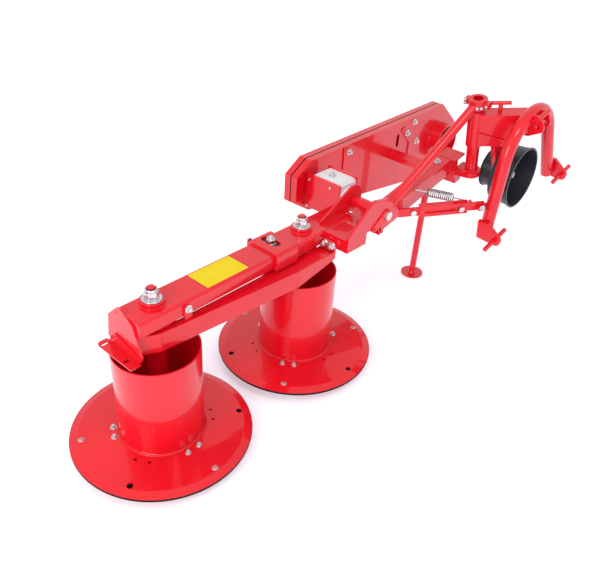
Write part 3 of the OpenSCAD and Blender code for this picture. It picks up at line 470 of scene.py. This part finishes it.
def joined(pieces, name):
    bpy.ops.object.select_all(action="DESELECT")
    for piece in pieces:
        piece.select_set(True)
    bpy.context.view_layer.objects.active = pieces[0]
    if len(pieces) > 1:
        bpy.ops.object.join()
    whole = bpy.context.active_object
    whole.name = name
    bpy.ops.object.transform_apply(location=True, rotation=True, scale=True)
    return whole


def hex_bolt(across, washer=WASHER_R):
    """A bolt head standing on z = 0, sized by its width across flats, with or without a washer."""
    parts = []
    seat = 0.0
    if washer:
        seat = across * WASHER_T
        parts.append(round_top(lathe_step(across * washer, 0.0, seat), across * WASHER_EDGE))
    head = lathe_step(across / math.sqrt(3), seat, seat + across * HEAD_H, 6)
    parts.append(round_top(head, across * HEAD_EDGE))
    shank = lathe_step(across * SHANK_R, seat + across * SHANK_LOW, seat + across * SHANK_HIGH, 24)
    parts.append(round_top(shank, across * SHANK_EDGE))
    return joined(parts, "bolt_pattern")


def stand_on(piece, at, axis):
    turn = Vector(axis).to_track_quat("Z", "Y").to_matrix().to_4x4()
    piece.data.transform(Matrix.Translation(at) @ turn)
    return piece


def bolts(name, body, seats, across, washer=WASHER_R):
    """Copies of one bolt on seats of (place, axis), joined to one piece that rides on a body."""
    made = []
    pattern = hex_bolt(across * MM, washer)
    for at, axis in seats:
        copy = pattern.copy()
        copy.data = pattern.data.copy()
        bpy.context.scene.collection.objects.link(copy)
        made.append(stand_on(copy, at, axis))
    bpy.data.objects.remove(pattern)
    piece = joined(made, name)
    piece.data.materials.clear()
    piece.data.materials.append(zinc_plate)
    alone(piece)
    bpy.ops.object.shade_smooth_by_angle(angle=SMOOTH_BELOW)
    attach(piece, body)
    print(name, len(seats), "bolts")


OUT = Vector((1, 0, 0))
FRONT = Vector((0, 1, 0))
TOP = Vector((0, 0, 1))
ARM_OUT = ARM_TURN @ OUT
ARM_TOP = ARM_TURN @ TOP

# %% [markdown]
# The drums are bolted to their plates by three pairs of bolts round the foot, in line with the knives.
# The outer drum stands a quarter turn from the bar, the inner one about a third of that.

# %% Drum foot bolts
DRUM_X = 397.0
THIRD_TURN = 120
FOOT_SEAT_Z = 82.4
FOOT_BOLT_R = 193.0
FOOT_PAIR_HALF = 8.0
FOOT_BOLT_AF, FOOT_WASHER_R = 17, 0.8
DRUM_TURNS = {"rotor_outer": (DRUM_X, 90.0), "rotor_inner": (-DRUM_X, 34.0)}

for body, (drum_x, drum_turn) in DRUM_TURNS.items():
    seats = []
    for third in range(3):
        for half in (-1, 1):
            angle = math.radians(drum_turn + third * THIRD_TURN + half * FOOT_PAIR_HALF)
            place = on_bar(
                drum_x + FOOT_BOLT_R * math.cos(angle), FOOT_BOLT_R * math.sin(angle), FOOT_SEAT_Z)
            seats.append((place, TOP))
    bolts("foot_bolts_" + body[6:], body, seats, FOOT_BOLT_AF, FOOT_WASHER_R)

# %% [markdown]
# ## Bolts of the bar
# Two heavy bolts hold the guard tube's flange to the hinge base, one holds its lug to the beam,
# and one shows its nut behind the saddle. The gearbox's side plates have small cap screws at their corners.

# %% Bolts of the bar
FLANGE_X, FLANGE_Z, FLANGE_YS = -450.0, 640.0, (95.0, 135.0)
FLANGE_BOLT_AF, FLANGE_WASHER_R = 27, 0.72
TUBE_LUG, TUBE_LUG_AF = (306.0, 88.0, 658.0), 18
SADDLE_BACK, SADDLE_BACK_AF = (-163.0, -79.0, 684.0), 17
FILLER, FILLER_AF = (-716.0, -102.0, 806.0), 22
NEAR_PLATE_X, FAR_PLATE_X = -661.0, -789.0
NEAR_SCREWS = ((-192, 774), (-63, 776), (-194, 642))
FAR_SCREWS = ((-166, 798), (-27, 798), (-166, 646), (-27, 646))
SCREW_AF = 12

flange_seats = [(on_bar(FLANGE_X, y, FLANGE_Z), OUT) for y in FLANGE_YS]
bolts("flange_bolts", "bar", flange_seats, FLANGE_BOLT_AF, FLANGE_WASHER_R)
bolts("tube_lug_bolt", "bar", [(on_bar(*TUBE_LUG), FRONT)], TUBE_LUG_AF)
bolts("saddle_nut", "bar", [(on_bar(*SADDLE_BACK), -FRONT)], SADDLE_BACK_AF)
near_seats = [(on_bar(NEAR_PLATE_X, y, z), OUT) for y, z in NEAR_SCREWS]
far_seats = [(on_bar(FAR_PLATE_X, y, z), -OUT) for y, z in FAR_SCREWS]
bolts("gearbox_screws", "bar", near_seats + far_seats, SCREW_AF, washer=0)
bolts("filler_plug", "bar", [(on_bar(*FILLER), TOP)], FILLER_AF)

# %% [markdown]
# ## Bolts of the arm and the hitch
# The belt guard hangs on two straps. The stay's collar is a clamp, so it has bolts through its ears,
# and the breakaway link's pin ends in a plated head in front of its lug.

# %% Bolts of the arm and the hitch
STRAP_Y, PANEL_Y, GUARD_BACK_Y = -209.0, -215.0, -290.0
STRAP_SEATS, PANEL_SEAT, STRAP_AF = ((-1486, 793), (-1592, 721), (-973, 822)), (-1555, 838), 20
BACK_SEATS = (
    (-700, 812), (-1100, 829), (-1500, 846), (-1880, 820), (-1880, 500), (-1300, 536), (-700, 632))
BACK_AF = 13
PIVOT_X, PIVOT_Y, COLLAR_Z, COLLAR_R = -631.0, 265.0, 263.0, 43.0
EAR_X, EAR_SEATS = 17, ((-54, 13), (-54, 27), (54, 20))
SCREW_TURNS, SCREW_UP, SCREW_SUNK = (26, 50), 12, 1
COLLAR_AF = 14
ARM_TOP_SEAT, ARM_TOP_AF = (-522.6, 137.3, -24.0), 19

strap_seats = [(on_bar(x, STRAP_Y, z), FRONT) for x, z in STRAP_SEATS]
strap_seats.append((on_bar(PANEL_SEAT[0], PANEL_Y, PANEL_SEAT[1]), FRONT))
bolts("strap_bolts", "arm", strap_seats, STRAP_AF)
back_seats = [(on_bar(x, GUARD_BACK_Y, z), -FRONT) for x, z in BACK_SEATS]
bolts("guard_back_bolts", "arm", back_seats, BACK_AF)

collar_seats = [(on_arm(PIVOT_X + EAR_X, PIVOT_Y + y, COLLAR_Z + z), ARM_OUT) for y, z in EAR_SEATS]
for screw_turn in SCREW_TURNS:
    away = Vector((math.cos(math.radians(screw_turn)), math.sin(math.radians(screw_turn)), 0))
    at = Vector((PIVOT_X, PIVOT_Y, COLLAR_Z + SCREW_UP)) + away * (COLLAR_R - SCREW_SUNK)
    collar_seats.append((on_arm(*at), ARM_TURN @ away))
bolts("collar_bolts", "arm", collar_seats, COLLAR_AF, washer=0)
bolts("arm_top_bolt", "arm", [(on_arm(*ARM_TOP_SEAT), ARM_TOP)], ARM_TOP_AF)

LINK_A = Vector((-197.0, 218.0, -95.0))
LINK_B = Vector((-466.0, 420.0, -134.0))
LINK_DIR = (LINK_B - LINK_A).normalized()
LINK_SIDE = Vector((-LINK_DIR.y, LINK_DIR.x, 0)).normalized()
PIN_END, PIN_AF = 28.0, 18
pin_seat = on_arm(*(LINK_B - LINK_SIDE * PIN_END))
bolts("link_pin_head", "hitch", [(pin_seat, ARM_TURN @ -LINK_SIDE)], PIN_AF)

# %% [markdown]
# ## Drum nuts
# Each drum spindle ends above the beam in a big flanged lock nut: a washer face, a hexagon with its corners
# turned, a collar that holds a black locking ring, and the spindle's end, given the beam's red finish.
# A smaller nut with a washer and its bolt's end sits in the saddle's window.
# They stand for the plain nuts of the CAD model, and keep their sizes.
# A step is (radius, low, high, sides, edge) in millimetres.

# %% Drum nuts
NUT_Z = 702.0
NUT_AF, SADDLE_AF = 50.0, 36.0
NUT_STEPS = (
    (38.0, 0.0, 6.0, 64, 1.6), (NUT_AF / math.sqrt(3), 5.5, 34.0, 6, 3.0), (23.0, 33.0, 46.0, 64, 2.6))
NUT_RING_STEPS = ((18.5, 45.5, 47.5, 48, 0.6),)
STUD_STEPS = ((15.0, 47.0, 53.0, 48, 1.5),)
SADDLE_NUT = (-213.0, -5.0, 686.0)
SADDLE_STEPS = (
    (21.5, 0.5, 4.0, 48, 0.8), (SADDLE_AF / math.sqrt(3), 3.5, 24.0, 6, 2.2), (11.0, 23.5, 33.0, 48, 2.0))


def turned(steps, at):
    """Steps stood on a place, rounded and not yet joined."""
    made = []
    for radius, low, high, sides, edge in steps:
        step = round_top(lathe_step(radius * MM, low * MM, high * MM, sides), edge * MM, 3)
        bpy.ops.object.transform_apply(location=True, rotation=True, scale=True)
        made.append(stand_on(step, at, TOP))
    return made


def finished(pieces, name, body, material):
    """Joins pieces to one that has a finish, smooth rounds and a body to ride on."""
    whole = joined(pieces, name)
    whole.data.materials.clear()
    whole.data.materials.append(material)
    alone(whole)
    bpy.ops.object.shade_smooth_by_angle(angle=SMOOTH_BELOW)
    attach(whole, body)
    print(name, len(whole.data.polygons), "faces")
    return whole


nut_pieces = turned(SADDLE_STEPS, on_bar(*SADDLE_NUT))
ring_pieces = []
stud_pieces = []
for drum_x in (DRUM_X, -DRUM_X):
    seat = on_bar(drum_x, 0, NUT_Z)
    nut_pieces += turned(NUT_STEPS, seat)
    ring_pieces += turned(NUT_RING_STEPS, seat)
    stud_pieces += turned(STUD_STEPS, seat)
drum_nuts = finished(nut_pieces, "drum_nuts", "bar", zinc_plate)
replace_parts(drum_nuts, "cap_nuts")
finished(ring_pieces, "nut_rings", "bar", black_plastic)
finished(stud_pieces, "spindle_ends", "bar", red_paint)

# %% [markdown]
# ## Coil spring
# The breakaway link is pulled back by a close-wound spring. A helix is a curve, so its centre line
# is worked out point by point and given the wire's thickness.
# It takes the place of the CAD model's coarser coil, with the same outer diameter.

# %% Coil spring
SPRING_NEAR = Vector((-272.0, 182.0, -30.0))
LINK_FACE, STUD_SHARE, STUD_HOOK = -9.0, 0.9, 44.0
SPRING_FAR = LINK_A + (LINK_B - LINK_A) * STUD_SHARE + LINK_SIDE * (LINK_FACE + STUD_HOOK)
COIL_START, COIL_END = 0.22, 0.66
COIL_TURNS, COIL_STEPS, COIL_WIRE = 12, 28, 5.6
COIL_R = 19.2


def tube(name, points, radii, thickness, closed=False):
    """A mesh tube along points in metres, with a share of the thickness at each point."""
    curve = bpy.data.curves.new(name, "CURVE")
    curve.dimensions = "3D"
    curve.bevel_depth = thickness / 2 * MM
    curve.bevel_resolution = 2
    curve.use_fill_caps = True
    spline = curve.splines.new("POLY")
    spline.points.add(len(points) - 1)
    for knot, at, share in zip(spline.points, points, radii):
        knot.co = (*at, 1)
        knot.radius = share
    spline.use_cyclic_u = closed
    made = bpy.data.objects.new(name, curve)
    bpy.context.scene.collection.objects.link(made)
    alone(made)
    bpy.ops.object.convert(target="MESH")
    return bpy.context.active_object


coil_line = SPRING_FAR - SPRING_NEAR
coil_turn = Matrix.Rotation(math.atan2(coil_line.y, coil_line.x), 3, "Z") @ Matrix.Rotation(
    math.acos(coil_line.z / coil_line.length), 3, "Y")
coil_points = []
for step in range(COIL_TURNS * COIL_STEPS + 1):
    share = step / (COIL_TURNS * COIL_STEPS)
    angle = 2 * math.pi * step / COIL_STEPS
    along = coil_line.length * (COIL_START + (COIL_END - COIL_START) * share)
    spot = coil_turn @ Vector((COIL_R * math.cos(angle), COIL_R * math.sin(angle), along))
    coil_points.append(on_arm(*(SPRING_NEAR + spot)))
coil = tube("coil", coil_points, [1.0] * len(coil_points), COIL_WIRE)
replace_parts(finished([coil], "coil_spring", "arm", bare_steel), "link_spring")

# %% [markdown]
# ## Weld beads
# The frame is welded from plate and tube, and the beads still show under the paint.
# A bead is a tube along the joint whose thickness swells and shrinks as the molten pool was moved along.

# %% Weld helper
BEAD_STEP = 2.0
BEAD_PITCH = 7.0
BEAD_SWELL = 0.14


def ring(centre, radius, place, count=240):
    """Points round a circle, where place turns two offsets from the centre into a point in metres."""
    turns = [2 * math.pi * i / count for i in range(count)]
    return [place(centre[0] + radius * math.cos(a), centre[1] + radius * math.sin(a)) for a in turns]


def even_steps(points, closed):
    """The same path with a point every couple of millimetres."""
    path = list(points) + ([points[0]] if closed else [])
    made = []
    for start, end in zip(path, path[1:]):
        count = max(1, round((end - start).length / (BEAD_STEP * MM)))
        made += [start.lerp(end, i / count) for i in range(count)]
    return made if closed else made + [path[-1]]


def weld_beads(name, body, runs):
    """Beads along runs of (points, closed, width in millimetres), as one piece on a body."""
    beads = []
    for points, closed, width in runs:
        path = even_steps(points, closed)
        waves = [2 * math.pi * i * BEAD_STEP / BEAD_PITCH for i in range(len(path))]
        swell = [1 + BEAD_SWELL * math.sin(wave) for wave in waves]
        beads.append(tube("bead", path, swell, width, closed))
    finished(beads, name, body, red_paint)


# %% Beads of the drums
FOOT_WELD_R, FOOT_WELD_Z, FOOT_WELD_T = 174.0, 87.0, 7.0

for body, (drum_x, _) in DRUM_TURNS.items():
    foot = ring((drum_x, 0.0), FOOT_WELD_R, lambda x, y: on_bar(x, y, FOOT_WELD_Z))
    weld_beads("foot_weld_" + body[6:], body, [(foot, True, FOOT_WELD_T)])

# %% [markdown]
# On the bar, beads run round the nut bosses, along the end plate, in the groove between the beam and
# the hinge base, at the feet of the gussets, over the bends of the guard tube and round the saddle.

# %% Beads of the bar
BEAM_TOP = 686.0
BOSS_WELD_R, BOSS_WELD_T = 46.5, 5.0


def bar_line(*places):
    return [on_bar(*place) for place in places]


bar_runs = []
for boss_x in (DRUM_X, -DRUM_X):
    boss = ring((boss_x, 0.0), BOSS_WELD_R, lambda u, v: on_bar(u, v, BEAM_TOP))
    bar_runs.append((boss, True, BOSS_WELD_T))
bar_runs += [
    (bar_line((510, -54, 686), (510, 70, 686), (510, 79.5, 677), (510, 79.5, 630)), False, 6.0),
    (bar_line((-588, 77, 682), (-462, 77, 682)), False, 9.0),
    (bar_line((-586, 199.5, 686), (-470, 199.5, 686)), False, 6.0),
    (bar_line((-655, 31.5, 686), (-502, 31.5, 686)), False, 6.0),
    (bar_line((-655, 19.5, 686), (-502, 19.5, 686)), False, 6.0),
    (bar_line((430, 62, 610), (430, 85, 610), (430, 85, 532)), False, 3.5),
    (bar_line((-226, 66, 610), (-226, 146, 610), (-226, 146, 532)), False, 3.5),
    (bar_line((510.5, 8, 610), (510.5, 43, 610)), False, 5.0),
    (bar_line((-268, 88, 690), (-154, 88, 690)), False, 5.0),
    (bar_line((-148, -60, 686), (-148, 72, 686)), False, 4.0),
    (bar_line((-274, -60, 686), (-274, 72, 686)), False, 4.0),
]
weld_beads("bar_welds", "bar", bar_runs)

# %% [markdown]
# On the arm, beads run round the stay's foot, over the joint with the cross channel, round the pivot
# tube's foot and round the collar on the belt guard. On the hitch they run up the mast's sleeve.

# %% Beads of the arm and the hitch
STAY_FOOT = Vector((-85.0, 160.0, -24.0))
STAY_HEAD = Vector((PIVOT_X, PIVOT_Y, 284.0))
STAY_R = 22.0
PIVOT_WELD_R, PIVOT_WELD_Z = 30.5, -77.0
GUARD_COLLAR, GUARD_COLLAR_R = (-1843.0, 661.0), 107.5

stay_line = STAY_HEAD - STAY_FOOT
stay_level = Vector((stay_line.x, stay_line.y, 0)).normalized()
stay_long = STAY_R * stay_line.length / stay_line.z


def round_stay(u, v):
    aside = Vector((-stay_level.y, stay_level.x, 0))
    return on_arm(*(STAY_FOOT + stay_level * u * stay_long / STAY_R + aside * v))


def arm_line(*places):
    return [on_arm(*place) for place in places]


arm_runs = [
    (ring((0.0, 0.0), STAY_R, round_stay), True, 6.0),
    (arm_line((-575, 103, -24), (-575, 182, -24), (-575, 182, -103)), False, 6.0),
    (ring((PIVOT_X, PIVOT_Y), PIVOT_WELD_R, lambda x, y: on_arm(x, y, PIVOT_WELD_Z)), True, 6.0),
    (ring(GUARD_COLLAR, GUARD_COLLAR_R, lambda x, z: on_bar(x, PANEL_Y, z)), True, 5.0),
]
weld_beads("arm_welds", "arm", arm_runs)

TOP_LINK_X, TOP_LINK_Y = -768.0, 470.0
MAST_TURN = math.atan2(TOP_LINK_Y - PIVOT_Y, TOP_LINK_X - PIVOT_X)
MAST_X, MAST_SIDE, MAST_LOW, MAST_HIGH, MAST_WELD_T = 13.0, 37.0, 75.0, 233.0, 5.0


def by_mast(along, across, z):
    turn = Matrix.Rotation(MAST_TURN, 3, "Z")
    return on_arm(*(Vector((PIVOT_X, PIVOT_Y, 0)) + turn @ Vector((along, across, z))))


hitch_runs = []
for side in (-1, 1):
    mast_line = [by_mast(MAST_X, side * MAST_SIDE, z) for z in (MAST_LOW, MAST_HIGH)]
    hitch_runs.append((mast_line, False, MAST_WELD_T))
weld_beads("mast_welds", "hitch", hitch_runs)

# %% [markdown]
# ## Cut plates
# A few flat bars and plates are too thin for the solids: the waisted sheet that runs from the hinge
# sleeve down the arm's end, the bar behind the link's slot and the ledge on the mast's side.
# Each starts as one face with the plate's outline, gets its thickness and then a small bevel.

# %% Cut plate helper


def cut_plate(name, outline, thickness, edge=1.2):
    """A plate whose middle plane has this outline of points in metres, with a thickness in millimetres."""
    mesh = bpy.data.meshes.new(name)
    mesh.from_pydata([tuple(point) for point in outline], [], [tuple(range(len(outline)))])
    plate = bpy.data.objects.new(name, mesh)
    bpy.context.scene.collection.objects.link(plate)
    alone(plate)
    wall = plate.modifiers.new("wall", "SOLIDIFY")
    wall.thickness = thickness * MM
    wall.offset = 0
    bpy.ops.object.modifier_apply(modifier=wall.name)
    bpy.ops.object.mode_set(mode="EDIT")
    bpy.ops.mesh.select_all(action="SELECT")
    bpy.ops.mesh.normals_make_consistent(inside=False)
    bpy.ops.object.mode_set(mode="OBJECT")
    return round_top(plate, edge * MM)


# %% Web, link bar and mast ledge
WEB_X, WEB_T = 26.0, 8.0
WEB_OUTLINE = (
    (33, 8), (33, -4), (41, -11), (41, -30), (39, -51), (6, -53), (6, -120),
    (100, -120), (116, -104), (194, -104), (194, -98), (186, -60), (186, -20), (197, -4), (197, 8))
web = cut_plate("web", [on_arm(WEB_X, y, z) for y, z in WEB_OUTLINE], WEB_T)
finished([web], "hinge_web", "arm", red_paint)

LINK_UP = LINK_DIR.cross(LINK_SIDE)
LINK_BAR_Y, LINK_BAR_T, LINK_BAR_HALF = -5.0, 7.0, 20.0
LINK_BAR_NEAR, LINK_BAR_FAR = 74.0, 208.0


def by_link(along, across, up):
    return on_arm(*(LINK_A + LINK_DIR * along + LINK_SIDE * across + LINK_UP * up))


LINK_BAR = (
    (LINK_BAR_NEAR, -LINK_BAR_HALF), (LINK_BAR_FAR, -LINK_BAR_HALF),
    (LINK_BAR_FAR, LINK_BAR_HALF), (LINK_BAR_NEAR, LINK_BAR_HALF))
link_bar = cut_plate("bar", [by_link(x, LINK_BAR_Y, z) for x, z in LINK_BAR], LINK_BAR_T)
finished([link_bar], "link_bar", "arm", red_paint)

LEDGE = ((15.0, 148.0), (138.0, 108.0), (138.0, 100.0), (15.0, 140.0))
LEDGE_ACROSS, LEDGE_T, LEDGE_EDGE = -41.0, 8.0, 2.0
ledge = cut_plate("ledge", [by_mast(x, LEDGE_ACROSS, z) for x, z in LEDGE], LEDGE_T, LEDGE_EDGE)
finished([ledge], "mast_ledge", "hitch", red_paint)

# %% [markdown]
# ## Rims and holes of the plates
# A black cord runs under each plate's lip as painted shade, filling the shadow gap under the rim, and black
# plugs sit in the holes that the knives are reached through.

# %% Rims and plugs
PLATE_D, KNIFE_SHARE = 730.0, 0.87
KNIFE_R = PLATE_D / 2 * KNIFE_SHARE
RIM_R, RIM_Z, RIM_T = 361.6, 54.9, 6.2
PLUG_STEPS = ((12.3, 67.0, 71.5, 40, 1.0),)

for body, (drum_x, drum_turn) in DRUM_TURNS.items():
    side = body[6:]
    # The cord is painted shade: a dark ring put in the gap under the lip, where the plate's shadow falls.
    cord_path = ring((drum_x, 0.0), RIM_R, lambda x, y: on_bar(x, y, RIM_Z))
    cord = tube("rim", cord_path, [1.0] * len(cord_path), RIM_T, True)
    finished([cord], "rim_shade_cord_" + side, body, black_rubber_and_rim_shade)
    plugs = []
    for third in range(3):
        angle = math.radians(drum_turn + THIRD_TURN / 2 + third * THIRD_TURN)
        seat = on_bar(drum_x + KNIFE_R * math.cos(angle), KNIFE_R * math.sin(angle), 0)
        plugs += turned(PLUG_STEPS, seat)
    finished(plugs, "hole_plugs_" + side, body, black_rubber_and_rim_shade)

# %% [markdown]
# ## Bare yellow plate and window pad
# A thin foil plate sits on the beam's top, and a black pad lies in the saddle's window under its nut.
# Each is a plane cut to size, with its corners rounded and given a thickness.

# %% Yellow plate and pad
FOIL_T, CORNER_STEPS = 0.6, 8
PLATE_LIFT, PLATE_CORNER = 0.3, 4.0
PAD_LIFT, PAD_CORNER = 0.2, 21.0


def foil(name, x_span, y_span, z, corner, material):
    bpy.ops.object.select_all(action="DESELECT")
    bpy.ops.mesh.primitive_plane_add(size=1, location=on_bar(sum(x_span) / 2, sum(y_span) / 2, z))
    made = bpy.context.active_object
    made.name = name
    made.scale = ((x_span[1] - x_span[0]) * MM, (y_span[1] - y_span[0]) * MM, 1)
    bpy.ops.object.transform_apply(location=True, rotation=True, scale=True)
    bpy.ops.object.mode_set(mode="EDIT")
    bpy.ops.mesh.select_all(action="SELECT")
    bpy.ops.mesh.bevel(offset=corner * MM, segments=CORNER_STEPS, affect="VERTICES")
    bpy.ops.object.mode_set(mode="OBJECT")
    wall = made.modifiers.new("wall", "SOLIDIFY")
    wall.thickness = FOIL_T * MM
    wall.offset = 1
    bpy.ops.object.modifier_apply(modifier=wall.name)
    made.data.materials.append(material)
    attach(made, "bar")
    print(name, len(made.data.polygons), "faces")
    return made


foil("yellow_plate", (-15.0, 194.0), (-50.0, 67.0), BEAM_TOP + PLATE_LIFT, PLATE_CORNER, yellow_foil)
pad = foil("window_pad", (-234.5, -191.5), (-52.5, 42.5), BEAM_TOP + PAD_LIFT, PAD_CORNER, black_plastic)

# %% [markdown]
# ## Floor and light
# A white studio: a pale floor, a white surround and two large soft lamps,
# so the gloss has something white to mirror.
# The key lamp stands off the bar's outer end, because the faces that look that way are the brightest.

# %% Stage
FLOOR_SIZE, FLOOR_DROP = 400, 0.0005
FLOOR_GLOW, FLOOR_GLOW_STRENGTH = rgba(0.79, 0.76, 0.87), 0.42
SURROUND, SURROUND_STRENGTH = rgba(1.0, 1.0, 1.0), 0.86


def finish_floor():
    floor = Finish("pale_floor")
    cloud = floor.noise(1.2, 3.0)
    colour = floor.mix(cloud, rgba(0.87, 0.86, 0.91), rgba(0.90, 0.89, 0.94))
    return floor.set(Base_Color=colour, Roughness=0.75,
                     Emission_Color=FLOOR_GLOW, Emission_Strength=FLOOR_GLOW_STRENGTH)


bpy.ops.object.select_all(action="DESELECT")
bpy.ops.mesh.primitive_plane_add(size=FLOOR_SIZE, location=(0, 0, -FLOOR_DROP))
ground = bpy.context.active_object
ground.name = "studio_floor"
ground.data.materials.append(finish_floor())

world = bpy.data.worlds.new("studio")
world.use_nodes = True
background = world.node_tree.nodes["Background"]
background.inputs["Color"].default_value = SURROUND
background.inputs["Strength"].default_value = SURROUND_STRENGTH
bpy.context.scene.world = world


def lamp(name, at, aim, size, power, colour=(1.0, 1.0, 1.0)):
    data = bpy.data.lights.new(name, "AREA")
    data.shape = "DISK"
    data.size = size
    data.energy = power
    data.color = colour
    made = bpy.data.objects.new(name, data)
    bpy.context.scene.collection.objects.link(made)
    made.location = at
    made.rotation_euler = (Vector(aim) - Vector(at)).to_track_quat("-Z", "Y").to_euler()


lamp("key", at=(4.6, 0.9, 2.6), aim=(0.2, 0.0, 0.3), size=2.4, power=95, colour=(1.0, 0.95, 0.90))
lamp("top", at=(1.2, 2.2, 4.6), aim=(0.0, 0.0, 0.3), size=1.6, power=40)
bpy.context.scene.view_settings.view_transform = "Standard"
print("stage lit")
